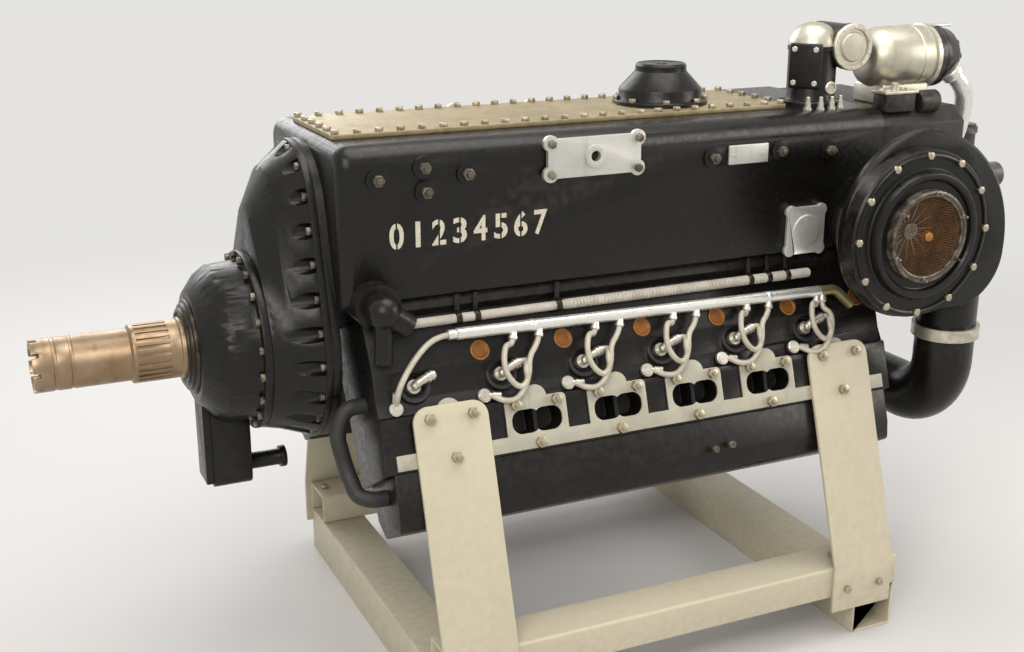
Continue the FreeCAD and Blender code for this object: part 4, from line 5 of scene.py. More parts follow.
import bpy
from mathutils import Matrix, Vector


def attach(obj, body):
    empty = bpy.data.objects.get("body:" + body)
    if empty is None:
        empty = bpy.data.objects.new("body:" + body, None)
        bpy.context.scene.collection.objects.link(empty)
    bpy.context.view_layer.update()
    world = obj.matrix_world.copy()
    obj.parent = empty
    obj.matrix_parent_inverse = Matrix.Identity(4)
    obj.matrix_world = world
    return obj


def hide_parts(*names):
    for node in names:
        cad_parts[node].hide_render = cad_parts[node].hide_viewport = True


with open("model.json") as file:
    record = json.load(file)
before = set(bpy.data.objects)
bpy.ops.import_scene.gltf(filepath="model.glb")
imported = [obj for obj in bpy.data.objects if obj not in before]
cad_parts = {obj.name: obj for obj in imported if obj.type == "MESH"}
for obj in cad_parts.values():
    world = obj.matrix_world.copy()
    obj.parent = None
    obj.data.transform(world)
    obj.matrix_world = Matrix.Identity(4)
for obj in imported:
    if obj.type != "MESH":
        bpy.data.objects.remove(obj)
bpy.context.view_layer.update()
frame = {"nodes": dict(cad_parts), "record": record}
cadNodes = frame["nodes"]
bodyOfNode = {node: body for body, members in frame["record"]["behaviour"]["bodies"].items() for node in members}
random.seed(12)
print("frame loaded,", len(cadNodes), "nodes")

# Camera and light
shot = {"place": (-1.272, -2.4046, 1.4548), "down": 17.262, "turn": -24.672, "lens": 46.98}
shotTurn = (math.radians(90 - shot["down"]), 0, math.radians(shot["turn"]))
bpy.ops.object.camera_add(location=shot["place"], rotation=shotTurn)
camera = bpy.context.object
camera.data.sensor_width = 36
camera.data.lens = shot["lens"]
bpy.context.scene.camera = camera
bpy.context.scene.view_settings.view_transform = "Standard"

lamps = {
    "keyLamp": {"place": (-2.6, -3.4, 3.4), "size": 2.6, "power": 120, "tone": (1, 0.96, 0.9)},
    "topLamp": {"place": (0.3, -0.4, 3.6), "size": 2.4, "power": 70, "tone": (1, 0.97, 0.93)},
    "sideLamp": {"place": (3.4, -2.2, 2.0), "size": 1.8, "power": 50, "tone": (1, 0.95, 0.88)},
    "backLamp": {"place": (-0.8, 3.4, 2.6), "size": 2.6, "power": 70, "tone": (1, 1, 1)},
}
for name, lamp in lamps.items():
    bpy.ops.object.light_add(type="AREA", location=lamp["place"])
    light = bpy.context.object
    light.name = name
    light.data.size = lamp["size"]
    light.data.energy = lamp["power"]
    light.data.color = lamp["tone"]
    light.rotation_euler = (Vector((0, 0, 0.6)) - Vector(lamp["place"])).to_track_quat("-Z", "Y").to_euler()


def shaderGroup(name, given, made):
    # A group with a vector and these inputs; the caller wires what lies between
    group = bpy.data.node_groups.new(name, "ShaderNodeTree")
    kinds = {True: "NodeSocketColor", False: "NodeSocketFloat"}
    group.interface.new_socket("Vector", in_out="INPUT", socket_type="NodeSocketVector")
    for label, value in given.items():
        kind = kinds[isinstance(value, tuple)]
        group.interface.new_socket(label, in_out="INPUT", socket_type=kind).default_value = value
    for label in made:
        group.interface.new_socket(label, in_out="OUTPUT", socket_type=kinds[label == "Color"])
    return group, group.nodes.new("NodeGroupInput"), group.nodes.new("NodeGroupOutput")


def addNode(tree, kind, settings=None, values=None):
    node = tree.nodes.new("ShaderNode" + kind)
    for key, value in (settings or {}).items():
        setattr(node, key, value)
    for key, value in (values or {}).items():
        node.inputs[key].default_value = value
    return node


def wire(tree, *ways):
    # Each way: a node and the socket it leaves by, a node and the socket it enters
    for source, out, target, into in ways:
        tree.links.new(source.outputs[out], target.inputs[into])


def seenRays(tree):
    # 1 for what the camera sees, straight or in a reflection
    rays = addNode(tree, "LightPath")
    either = addNode(tree, "Math", {"operation": "MAXIMUM"})
    wire(tree, (rays, "Is Camera Ray", either, 0), (rays, "Is Glossy Ray", either, 1))
    return rays, either


backTone = (0.78, 0.77, 0.75, 1)
world = bpy.data.worlds.new("studio")
bpy.context.scene.world = world
world.use_nodes = True
sky = world.node_tree
air = sky.nodes["Background"]
air.inputs["Color"].default_value = (0.95, 0.96, 1, 1)
air.inputs["Strength"].default_value = 0.5
backdrop = addNode(sky, "Background", values={"Color": backTone})
rays, direct = seenRays(sky)
seenAll = addNode(sky, "Math", {"operation": "MAXIMUM"})
worldMix = addNode(sky, "MixShader")
wire(sky, (direct, 0, seenAll, 0), (rays, "Is Transmission Ray", seenAll, 1), (seenAll, 0, worldMix, "Fac"),
     (air, 0, worldMix, 1), (backdrop, 0, worldMix, 2), (worldMix, 0, sky.nodes["World Output"], "Surface"))


def noiseMask(group, start, noise, low, high, scaled=True, where=None):
    # Noise that is nothing below one level and full above the other
    cloud = addNode(group, "TexNoise", values=noise)
    cut = addNode(group, "MapRange", values={"From Min": low, "From Max": high})
    wire(group, (where or start, "Vector", cloud, "Vector"), (cloud, "Fac", cut, "Value"))
    if scaled:
        wire(group, (start, "Scale", cloud, "Scale"))
    return cut


def toneDriftGroup():
    # Slow change between two tones of the same coat
    given = {"Scale": 6.0, "First": (0.5, 0.5, 0.5, 1), "Second": (0.4, 0.4, 0.4, 1)}
    group, start, end = shaderGroup("toneDrift", given, ("Color", "Mask"))
    cut = noiseMask(group, start, {"Detail": 5.0, "Roughness": 0.6}, 0.35, 0.68)
    blend = addNode(group, "Mix", {"data_type": "RGBA"})
    wire(group, (cut, "Result", blend, 0), (start, "First", blend, 6), (start, "Second", blend, 7),
         (blend, 2, end, "Color"), (cut, "Result", end, "Mask"))
    return group


def castSkinGroup():
    # Sand-cast skin under the coat: fine grain with a softer swell
    group, start, end = shaderGroup("castSkin", {"Scale": 300.0}, ("Height",))
    grain = addNode(group, "TexNoise", values={"Detail": 3.0, "Roughness": 0.6})
    swell = addNode(group, "TexNoise", values={"Scale": 28.0, "Detail": 2.0})
    total = addNode(group, "Math", {"operation": "MULTIPLY_ADD"}, {1: 2.2})
    wire(group, (start, "Vector", grain, "Vector"), (start, "Scale", grain, "Scale"),
         (start, "Vector", swell, "Vector"), (swell, "Fac", total, 0), (grain, "Fac", total, 2),
         (total, 0, end, "Height"))
    return group


def edgeWearAndHighlightGroup():
    # Rounded outer edges where the coat is rubbed thin; the lighter edge tone is also a painted warm highlight along
    # them
    group, start, end = shaderGroup("edgeWearAndHighlight", {"Reach": 0.56}, ("Mask",))
    shape = addNode(group, "NewGeometry")
    edge = addNode(group, "MapRange", values={"From Min": 0.52})
    cut = noiseMask(group, start, {"Scale": 60.0, "Detail": 4.0}, 0.42, 0.62, scaled=False)
    both = addNode(group, "Math", {"operation": "MULTIPLY"})
    wire(group, (shape, "Pointiness", edge, "Value"), (start, "Reach", edge, "From Max"), (edge, "Result", both, 0),
         (cut, "Result", both, 1), (both, 0, end, "Mask"))
    return group


def settledDustGroup():
    # Dust on faces that look up
    group, start, end = shaderGroup("settledDust", {"Scale": 25.0}, ("Mask",))
    shape = addNode(group, "NewGeometry")
    parts = addNode(group, "SeparateXYZ")
    upward = addNode(group, "MapRange", values={"From Min": 0.25, "From Max": 1.0})
    cut = noiseMask(group, start, {"Detail": 6.0, "Roughness": 0.65}, 0.3, 0.75)
    both = addNode(group, "Math", {"operation": "MULTIPLY"})
    wire(group, (shape, "Normal", parts, 0), (parts, "Z", upward, "Value"), (upward, "Result", both, 0),
         (cut, "Result", both, 1), (both, 0, end, "Mask"))
    return group


def runStainGroup():
    # Thin marks that run downwards
    group, start, end = shaderGroup("runStain", {"Scale": 40.0}, ("Mask",))
    squeeze = addNode(group, "Mapping", values={"Scale": (1, 1, 0.06)})
    wire(group, (start, "Vector", squeeze, "Vector"))
    cut = noiseMask(group, start, {"Detail": 3.0, "Roughness": 0.5}, 0.58, 0.74, where=squeeze)
    wire(group, (cut, "Result", end, "Mask"))
    return group


toneDrift = toneDriftGroup()
castSkin = castSkinGroup()
edgeWearAndHighlight = edgeWearAndHighlightGroup()
settledDust = settledDustGroup()
runStain = runStainGroup()


def useGroup(tree, group, vector, values=None):
    node = addNode(tree, "Group", {"node_tree": group}, values)
    tree.links.new(vector, node.inputs["Vector"])
    return node


def over(tree, below, tone, mask, amount):
    # One more tone over the colour so far, as far as the mask and the amount say
    share = addNode(tree, "Math", {"operation": "MULTIPLY"}, {1: amount})
    blend = addNode(tree, "Mix", {"data_type": "RGBA"}, {7: (*tone, 1)})
    tree.links.new(mask, share.inputs[0])
    wire(tree, (share, 0, blend, 0))
    tree.links.new(below, blend.inputs[6])
    return blend.outputs[2]


def makeFinish(name, look):
    material = bpy.data.materials.new(name)
    material.use_nodes = True
    tree = material.node_tree
    shader = tree.nodes["Principled BSDF"]
    shader.inputs["Metallic"].default_value = look.get("metal", 0)
    shader.inputs["Specular IOR Level"].default_value = look.get("gloss", 0.5)
    where = addNode(tree, "TexCoord").outputs["Object"]
    drift = useGroup(tree, toneDrift, where, {
        "Scale": look.get("driftScale", 7), "First": (*look["tones"][0], 1), "Second": (*look["tones"][1], 1)})
    color = drift.outputs["Color"]
    if "stain" in look:
        stain = useGroup(tree, runStain, where, {"Scale": look.get("stainScale", 40)})
        color = over(tree, color, look["stain"], stain.outputs["Mask"], look.get("stainAmount", 0.4))
    # Rounded edges in their own tone: worn coat, and on the dark finishes a painted warm highlight as well
    if "rubbedAndHighlight" in look:
        wearAndHighlight = useGroup(tree, edgeWearAndHighlight, where, {"Reach": look.get("reach", 0.58)})
        color = over(tree, color, look["rubbedAndHighlight"], wearAndHighlight.outputs["Mask"], look.get("rubAndHighlightAmount", 0.6))
    dust = useGroup(tree, settledDust, where, {"Scale": look.get("dustScale", 25)})
    color = over(tree, color, look.get("dustTone", (0.42, 0.38, 0.31)), dust.outputs["Mask"], look.get("dust", 0.04))
    tree.links.new(color, shader.inputs["Base Color"])
    fine = addNode(tree, "TexNoise", values={"Scale": look.get("roughScale", 90), "Detail": 5.0})
    rough = addNode(tree, "MapRange", values={
        "From Min": 0.3, "From Max": 0.7, "To Min": look["rough"][0], "To Max": look["rough"][1]})
    tree.links.new(where, fine.inputs["Vector"])
    wire(tree, (fine, "Fac", rough, "Value"), (rough, "Result", shader, "Roughness"))
    skin = useGroup(tree, castSkin, where, {"Scale": look.get("skinScale", 300)})
    bump = addNode(tree, "Bump", values={"Strength": look.get("skin", 0.1),
                                         "Distance": look.get("skinDepth", 0.0006)})
    height = skin.outputs["Height"]
    if "lathe" in look:  # fine turning marks along one direction
        marks = addNode(tree, "TexWave", {"bands_direction": look["lathe"]}, {
            "Scale": look.get("latheScale", 160), "Distortion": 0.6, "Detail": 3.0, "Detail Scale": 4.0})
        raised = addNode(tree, "Math", {"operation": "MULTIPLY_ADD"}, {1: look.get("latheDepth", 0.5)})
        tree.links.new(where, marks.inputs["Vector"])
        wire(tree, (marks, "Fac", raised, 0))
        tree.links.new(height, raised.inputs[2])
        height = raised.outputs[0]
    tree.links.new(height, bump.inputs["Height"])
    wire(tree, (bump, "Normal", shader, "Normal"))
    return material


# The rubbed edge tones are worn coat; on the black finishes they are also painted warm highlights
looks = {
    "blackEnamel": {"tones": ((0.0045, 0.0042, 0.0036), (0.008, 0.007, 0.0056)), "rough": (0.24, 0.4), "gloss": 0.3,
        "skin": 0.2, "skinScale": 150, "rubbedAndHighlight": (0.07, 0.052, 0.034), "rubAndHighlightAmount": 0.3, "dust": 0.012,
        "reach": 0.62},
    "satinBlack": {"tones": ((0.008, 0.0076, 0.0068), (0.014, 0.0125, 0.0105)), "rough": (0.36, 0.54), "gloss": 0.35,
        "skin": 0.28, "skinScale": 220, "rubbedAndHighlight": (0.12, 0.095, 0.065), "rubAndHighlightAmount": 0.4},
    "oiledBlack": {"tones": ((0.035, 0.025, 0.016), (0.016, 0.012, 0.009)), "metal": 0.55, "rough": (0.26, 0.42),
        "driftScale": 20, "rubbedAndHighlight": (0.26, 0.18, 0.1), "rubAndHighlightAmount": 0.7, "dust": 0.03},
    "rimSteel": {"tones": ((0.1, 0.085, 0.065), (0.05, 0.043, 0.034)), "metal": 0.6, "rough": (0.3, 0.45),
        "skin": 0.12, "driftScale": 25, "rubbedAndHighlight": (0.42, 0.36, 0.27), "rubAndHighlightAmount": 0.8, "dust": 0.03},
    "amberMetal": {"tones": ((0.33, 0.125, 0.022), (0.2, 0.07, 0.012)), "metal": 0.35, "rough": (0.38, 0.56),
        "driftScale": 60, "skin": 0.2, "rubbedAndHighlight": (0.5, 0.25, 0.06), "dust": 0.02},
    "oliveTube": {"tones": ((0.3, 0.26, 0.12), (0.21, 0.18, 0.08)), "metal": 0.6, "rough": (0.32, 0.46),
        "driftScale": 30, "dust": 0.03},
    "greyEnamel": {"tones": ((0.03, 0.029, 0.026), (0.045, 0.042, 0.037)), "rough": (0.35, 0.5), "skin": 0.25,
        "rubbedAndHighlight": (0.25, 0.23, 0.2), "dust": 0.15},
    "castAlloy": {"tones": ((0.55, 0.52, 0.43), (0.42, 0.39, 0.31)), "metal": 0.8, "rough": (0.32, 0.48), "skin": 0.3,
        "skinScale": 260, "rubbedAndHighlight": (0.72, 0.69, 0.6), "stain": (0.2, 0.16, 0.1), "stainAmount": 0.3},
    "plateAlloy": {"tones": ((0.6, 0.59, 0.55), (0.48, 0.47, 0.43)), "metal": 0.6, "rough": (0.36, 0.52),
        "skin": 0.15, "stain": (0.3, 0.26, 0.2), "stainAmount": 0.3, "dust": 0.1},
    "deckPlate": {"tones": ((0.34, 0.275, 0.155), (0.25, 0.2, 0.11)), "metal": 0.5, "rough": (0.36, 0.54),
        "skin": 0.2, "driftScale": 11, "rubbedAndHighlight": (0.55, 0.47, 0.3), "dust": 0.08},
    "blankSteel": {"tones": ((0.5, 0.49, 0.46), (0.4, 0.385, 0.36)), "metal": 1, "rough": (0.24, 0.4), "skin": 0.06},
    "oiledSteel": {"tones": ((0.16, 0.15, 0.14), (0.22, 0.2, 0.18)), "metal": 1, "rough": (0.28, 0.42), "skin": 0.08},
    "shaftSteel": {"tones": ((0.25, 0.165, 0.095), (0.35, 0.26, 0.17)), "metal": 0.85, "rough": (0.3, 0.46),
        "skin": 0.06, "driftScale": 14, "lathe": "X", "latheDepth": 0.22, "stain": (0.11, 0.075, 0.045),
        "stainAmount": 0.5, "rubbedAndHighlight": (0.55, 0.45, 0.32), "dust": 0.02},
    "zincBolt": {"tones": ((0.46, 0.4, 0.29), (0.3, 0.25, 0.17)), "metal": 0.9, "rough": (0.28, 0.45),
        "driftScale": 60, "rubbedAndHighlight": (0.66, 0.62, 0.55)},
    "darkBolt": {"tones": ((0.1, 0.085, 0.065), (0.045, 0.04, 0.033)), "metal": 0.6, "rough": (0.3, 0.5),
        "driftScale": 60, "rubbedAndHighlight": (0.45, 0.38, 0.28), "rubAndHighlightAmount": 0.8},
    "portPlate": {"tones": ((0.46, 0.445, 0.355), (0.38, 0.36, 0.28)), "metal": 0.25, "rough": (0.42, 0.6),
        "driftScale": 18, "skin": 0.12, "stain": (0.26, 0.21, 0.13), "stainAmount": 0.35, "stainScale": 50,
        "dust": 0.03},
    "creamPaint": {"tones": ((0.575, 0.52, 0.385), (0.545, 0.49, 0.36)), "rough": (0.42, 0.56), "driftScale": 4,
        "skin": 0.12, "skinScale": 110, "rubbedAndHighlight": (0.42, 0.36, 0.25), "rubAndHighlightAmount": 0.4, "stain": (0.42, 0.36, 0.25),
        "stainAmount": 0.1, "stainScale": 16, "dust": 0.03, "dustTone": (0.5, 0.45, 0.35)},
    "drawnTube": {"tones": ((0.8, 0.79, 0.75), (0.7, 0.68, 0.63)), "metal": 0.75, "rough": (0.24, 0.38), "skin": 0.04,
        "lathe": "X", "latheDepth": 0.05, "latheScale": 60},
    "leadSleeve": {"tones": ((0.56, 0.52, 0.43), (0.44, 0.4, 0.32)), "metal": 0.35, "rough": (0.4, 0.55), "skin": 0.9,
        "skinScale": 900, "skinDepth": 0.0009, "driftScale": 40},
    "fitting": {"tones": ((0.64, 0.62, 0.55), (0.5, 0.47, 0.4)), "metal": 0.8, "rough": (0.28, 0.42),
        "driftScale": 50, "skin": 0.08},
    "wrapTape": {"tones": ((0.52, 0.49, 0.42), (0.36, 0.33, 0.27)), "rough": (0.6, 0.8), "driftScale": 30,
        "skin": 0.5, "skinScale": 700, "dust": 0.2},
    "brassFitting": {"tones": ((0.52, 0.38, 0.13), (0.42, 0.29, 0.09)), "metal": 0.85, "rough": (0.32, 0.48),
        "driftScale": 50},
    "hoseRubber": {"tones": ((0.014, 0.0135, 0.013), (0.024, 0.022, 0.02)), "rough": (0.5, 0.68), "skin": 0.4,
        "skinScale": 500},
    "capMould": {"tones": ((0.012, 0.011, 0.01), (0.018, 0.016, 0.015)), "rough": (0.24, 0.36), "skin": 0.08},
    "meshWire": {"tones": ((0.17, 0.08, 0.028), (0.07, 0.04, 0.022)), "metal": 0.7, "rough": (0.35, 0.55),
        "driftScale": 34, "dust": 0.02},
    "paintedDigit": {"tones": ((0.62, 0.58, 0.46), (0.48, 0.44, 0.34)), "rough": (0.5, 0.65), "driftScale": 90,
        "skin": 0.2},
}
finishes = {name: makeFinish(name, look) for name, look in looks.items()}
print("finishes made:", len(finishes))


def editAll():
    bpy.ops.object.mode_set(mode="EDIT")
    bpy.ops.mesh.select_all(action="SELECT")


def objectMode():
    bpy.ops.object.mode_set(mode="OBJECT")


def clearSelection():
    if bpy.context.object and bpy.context.object.mode != "OBJECT":
        objectMode()
    bpy.ops.object.select_all(action="DESELECT")


def pick(piece):
    clearSelection()
    piece.select_set(True)
    bpy.context.view_layer.objects.active = piece


def applied(piece):
    pick(piece)
    bpy.ops.object.transform_apply(location=True, rotation=True, scale=True)
    return piece


def eased(piece, width, angle=36, steps=2):
    # Break the sharp edges, then smooth what is left under the same angle
    pick(piece)
    if width:
        edge = piece.modifiers.new("edge", "BEVEL")
        edge.width = width
        edge.segments = steps
        edge.limit_method = "ANGLE"
        edge.angle_limit = math.radians(angle)
        bpy.ops.object.modifier_apply(modifier=edge.name)
    bpy.ops.object.shade_smooth_by_angle(angle=math.radians(angle))
    return piece


def joined(name, pieces):
    pick(pieces[0])
    for piece in pieces[1:]:
        piece.select_set(True)
    if len(pieces) > 1:
        bpy.ops.object.join()
    whole = bpy.context.object
    whole.name = name
    return whole


def starboardToo(piece):
    # The same piece again on the other side of the engine
    pick(piece)
    bpy.ops.object.duplicate()
    twin = bpy.context.object
    twin.scale = (1, -1, 1)
    bpy.ops.object.transform_apply(location=True, rotation=True, scale=True)
    editAll()
    bpy.ops.mesh.flip_normals()
    objectMode()
    return joined(piece.name, [piece, twin])


def finished(piece, finish, node=None, on=None):
    # It stands for a node, or rides with the node it is on
    piece.data.materials.clear()
    piece.data.materials.append(finishes[finish])
    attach(piece, bodyOfNode[node or on] if node or on else "engine")
    if node:
        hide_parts(node)
    return piece


def made(name, parts, finish, node=None, on=None, like=None, both=False, angle=34):
    whole = joined(name, parts)
    if both:
        whole = starboardToo(whole)
    return finished(eased(whole, 0, angle), finish, node, on)


def around(count, radius, start=0.5):
    # Evenly spaced places on a circle
    for index in range(count):
        angle = 2 * math.pi * (index + start) / count
        yield radius * math.cos(angle), radius * math.sin(angle)


def inMetres(profile):
    # The turned profiles are written in millimetres
    return [(height / 1000, radius / 1000) for height, radius in profile]


def turned(name, profile, origin, toward, sides=64, ring=False):
    # A lathe piece: a circle drawn out along its axis and resized at every step
    clearSelection()
    height, radius = profile[0]
    bpy.ops.mesh.primitive_circle_add(vertices=sides, radius=radius)
    piece = bpy.context.object
    piece.name = name
    bpy.ops.object.mode_set(mode="EDIT")
    bpy.ops.mesh.select_mode(type="VERT")
    bpy.ops.mesh.select_all(action="SELECT")
    bpy.ops.transform.translate(value=(0, 0, height))
    for nextHeight, nextRadius in profile[1:]:
        bpy.ops.mesh.extrude_region_move(TRANSFORM_OT_translate={"value": (0, 0, nextHeight - height)})
        share = nextRadius / radius
        bpy.ops.transform.resize(value=(share, share, 1), center_override=(0, 0, nextHeight))
        height, radius = nextHeight, nextRadius
    bpy.ops.mesh.select_all(action="SELECT")
    if ring:
        bpy.ops.mesh.remove_doubles(threshold=0.00001)
    else:
        bpy.ops.mesh.fill_holes(sides=0)
    bpy.ops.mesh.select_all(action="SELECT")
    bpy.ops.mesh.normals_make_consistent(inside=False)
    objectMode()
    piece.rotation_euler = Vector(toward).to_track_quat("Z", "Y").to_euler()
    piece.location = origin
    return applied(piece)


def tubeAlong(name, points, radius, sides=5, steps=10):
    # A round tube on a smooth line through these control points
    clearSelection()
    bpy.ops.curve.primitive_nurbs_path_add()
    piece = bpy.context.object
    piece.name = name
    line = piece.data
    line.splines.clear()
    spline = line.splines.new("NURBS")
    spline.points.add(len(points) - 1)
    for knot, point in zip(spline.points, points):
        knot.co = (*point, 1)
    spline.order_u = 3
    spline.use_endpoint_u = True
    spline.resolution_u = steps
    line.resolution_u = steps
    line.bevel_depth = radius
    line.bevel_resolution = sides
    line.use_fill_caps = True
    bpy.ops.object.convert(target="MESH")
    piece = bpy.context.object
    editAll()
    bpy.ops.mesh.remove_doubles(threshold=0.00001)
    bpy.ops.mesh.normals_make_consistent(inside=False)
    objectMode()
    bpy.ops.object.shade_smooth_by_angle(angle=math.radians(40))
    return piece


def hexPiece(name, flats, height, origin, toward, chamfer=0.001, washer=True):
    # A hex head with its corners turned off, on a washer
    clearSelection()
    bpy.ops.mesh.primitive_cylinder_add(vertices=6, radius=flats / math.sqrt(3), depth=height,
                                        location=(0, 0, height / 2))
    head = eased(bpy.context.object, chamfer, 30, 1)
    parts = [head]
    if washer:
        bpy.ops.mesh.primitive_cylinder_add(vertices=20, radius=flats * 0.66, depth=flats * 0.12,
                                            location=(0, 0, flats * 0.06))
        parts.append(eased(bpy.context.object, flats * 0.03, 30, 1))
    piece = joined(name, parts)
    piece.rotation_euler = Vector(toward).to_track_quat("Z", "Y").to_euler()
    piece.location = origin
    return applied(piece)


def refined(name, node, finish, edge):
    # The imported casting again, merged, with its edges broken so that they catch the light
    piece = bpy.data.objects.new(name, cadNodes[node].data.copy())
    bpy.context.scene.collection.objects.link(piece)
    pick(piece)
    editAll()
    bpy.ops.mesh.remove_doubles(threshold=0.00002)
    bpy.ops.mesh.dissolve_limited(angle_limit=math.radians(0.5))
    objectMode()
    eased(piece, edge, 34)
    return finished(piece, finish, node)


castings = {
    "crankcase": ("crankcaseCasting", "blackEnamel", 0.0016),
    "crankcase_cover": ("deckCover", "deckPlate", 0.0008),
    "port_cylinder_block": ("portBank", "blackEnamel", 0.0014),
    "starboard_cylinder_block": ("starboardBank", "blackEnamel", 0.0014),
    "port_camshaft_cover": ("portCamBox", "blackEnamel", 0.002),
    "starboard_camshaft_cover": ("starboardCamBox", "blackEnamel", 0.002),
    "reduction_housing": ("gearHousing", "blackEnamel", 0.0016),
    "nose_cover": ("noseCone", "blackEnamel", 0.0016),
    "oil_pump": ("noseOilPump", "blackEnamel", 0.0018),
    "supercharger_casing": ("scrollCasing", "blackEnamel", 0.003),
    "accessory_case": ("accessoryCasting", "satinBlack", 0.002),
    "injection_pump": ("injectionBlock", "greyEnamel", 0.0014),
    "intake_manifold": ("airManifold", "satinBlack", 0.001),
    "bearer_pads": ("bearerPlates", "plateAlloy", 0.0009),
    "side_cover": ("squareCover", "plateAlloy", 0.0009),
    "exhaust_gaskets": ("portGaskets", "portPlate", 0.0004),
    "stand_cross_tubes": ("crossTubes", "creamPaint", 0.003),
    "stand_rails": ("sideRails", "creamPaint", 0.0025),
    "stand_legs": ("legPlates", "creamPaint", 0.0012),
    "cover_bolts": ("deckBolts", "zincBolt", 0.0007),
    "casing_bolts": ("housingBolts", "darkBolt", 0.0007),
    "supercharger_bolts": ("scrollBolts", "zincBolt", 0.0007),
    "exhaust_studs": ("portStuds", "zincBolt", 0.0005),
    "stand_bolts": ("standBolts", "zincBolt", 0.0007),
}
for node, (name, finish, edge) in castings.items():
    refined(name, node, finish, edge)
print("castings refined:", len(castings))

innerFinishes = {
    "cylinder_liners": "blankSteel", "main_bearing_caps": "oiledSteel", "plain_bearings": "brassFitting",
    "crankshaft": "oiledSteel", "crankshaft_pinion": "oiledSteel", "reduction_gear": "oiledSteel",
    "port_camshaft": "oiledSteel", "starboard_camshaft": "oiledSteel", "impeller": "castAlloy",
    "spark_plugs": "fitting", "outlet_pipe": "blackEnamel", "outlet_clamp": "castAlloy",
    "starter_motor": "greyEnamel",
    "coolant_elbow": "blackEnamel", "oil_hose": "hoseRubber",
}
for side in ("port", "starboard"):
    for place in ("outer", "middle", "inner"):
        innerFinishes[f"{side}_{place}_pistons"] = "castAlloy"
for node, finish in innerFinishes.items():
    for slot in cadNodes[node].material_slots:
        slot.material = finishes[finish]


# Where things stand on the port bank, as the frame has them
bank = {"tilt": math.radians(30), "crank": 0.9136, "pitch": 0.172, "face": 0.086}
ports = [(index - 2.5) * bank["pitch"] for index in range(6)]
bankNormal = Vector((0, -math.cos(bank["tilt"]), math.sin(bank["tilt"])))
shaftLine = 0.6786


def bankPoint(x, distance, offset):
    # A point on the port bank: distance down from the crankshaft, offset out from the bank's plane
    sine, cosine = math.sin(bank["tilt"]), math.cos(bank["tilt"])
    return Vector((x, -(distance * sine + offset * cosine), bank["crank"] - distance * cosine + offset * sine))


def facesWhere(piece, test):
    # Select only the faces that pass the test
    pick(piece)
    bpy.ops.object.mode_set(mode="EDIT")
    bpy.ops.mesh.select_mode(type="FACE")
    bpy.ops.mesh.select_all(action="DESELECT")
    objectMode()
    for face in piece.data.polygons:
        face.select = test(face)
    bpy.ops.object.mode_set(mode="EDIT")


def block(name, low, high, edge, steps=3):
    # A block between two corners, all edges rounded
    clearSelection()
    middle = [(a + b) / 2 for a, b in zip(low, high)]
    bpy.ops.mesh.primitive_cube_add(size=1, location=middle)
    piece = bpy.context.object
    piece.name = name
    piece.scale = [b - a for a, b in zip(low, high)]
    return eased(applied(piece), edge, 30, steps)


# Propeller shaft: plain end with castle slots, two ring grooves, splines behind
propShaft = {
    "rear": -0.6, "slotFloor": -1.098, "slots": 8, "slotDepth": 0.013, "sides": 96, "splines": 24,
    "splineSpan": (-0.931, -0.872), "splineDepth": 0.0032,
    "outer": ((-0.6, 0.045), (-0.69, 0.045), (-0.69, 0.058), (-0.851, 0.058), (-0.853, 0.0545), (-0.866, 0.0545),
        (-0.872, 0.0545), (-0.931, 0.0545), (-0.938, 0.0545), (-0.942, 0.0485), (-1.04, 0.0485), (-1.0415, 0.0472),
        (-1.0455, 0.0472), (-1.047, 0.0485), (-1.069, 0.0485), (-1.0705, 0.047), (-1.0755, 0.047), (-1.077, 0.0485),
        (-1.098, 0.0485)),
    "inner": ((-1.098, 0.0375), (-1.062, 0.0365), (-1.06, 0.0302), (-0.6, 0.0302), (-0.6, 0.045)),
}


def aroundShaft(spot):
    return math.atan2(spot[2] - shaftLine, spot[1]) % (2 * math.pi)


def propellerShaftPiece():
    start = propShaft["rear"]
    profile = [(start - x, r) for x, r in propShaft["outer"] + propShaft["inner"]]
    piece = turned("propShaft", profile, (start, 0, shaftLine), (-1, 0, 0), propShaft["sides"], ring=True)
    step = 2 * math.pi / propShaft["sides"]

    def inGroove(face):
        column = int(aroundShaft(face.center) / step)
        near, far = propShaft["splineSpan"]
        high = math.hypot(face.center[1], face.center[2] - shaftLine) > 0.053
        return high and near < face.center[0] < far and column % 4 < 2

    facesWhere(piece, inGroove)
    bpy.ops.mesh.extrude_region_move()
    share = 1 - propShaft["splineDepth"] / 0.0545
    bpy.ops.transform.resize(value=(1, share, share), center_override=(0, 0, shaftLine))
    objectMode()
    perSlot = propShaft["sides"] // propShaft["slots"]

    def isTooth(face):
        column = int(aroundShaft(face.center) / step)
        return face.center[0] < propShaft["slotFloor"] + 0.0004 and abs(face.normal[0]) > 0.9 and column % perSlot > 2

    facesWhere(piece, isTooth)
    bpy.ops.mesh.extrude_region_move(TRANSFORM_OT_translate={"value": (-propShaft["slotDepth"], 0, 0)})
    objectMode()
    eased(piece, 0.0005, 34, 2)
    return finished(piece, "shaftSteel", "propeller_shaft")


propellerShaftPiece()

# Stepped seal ring where the shaft leaves the nose
sealRing = ((0, 59.2), (0, 90), (4, 90), (6, 88.5), (6.5, 83), (10, 82), (12, 80.5), (12.5, 74.5), (16, 73.5),
            (17, 72), (17, 67), (13.5, 66), (12, 59.2), (0, 59.2))
ring = turned("sealRing", inMetres(sealRing), (-0.829, 0, shaftLine), (-1, 0, 0), 96, ring=True)
finished(eased(ring, 0.0004, 30, 1), "oiledBlack", "nose_seal_ring")
print("propeller shaft and seal turned")

up, front, axis = Vector((0, 0, 1)), Vector((0, -1, 0)), Vector((1, 0, 0))

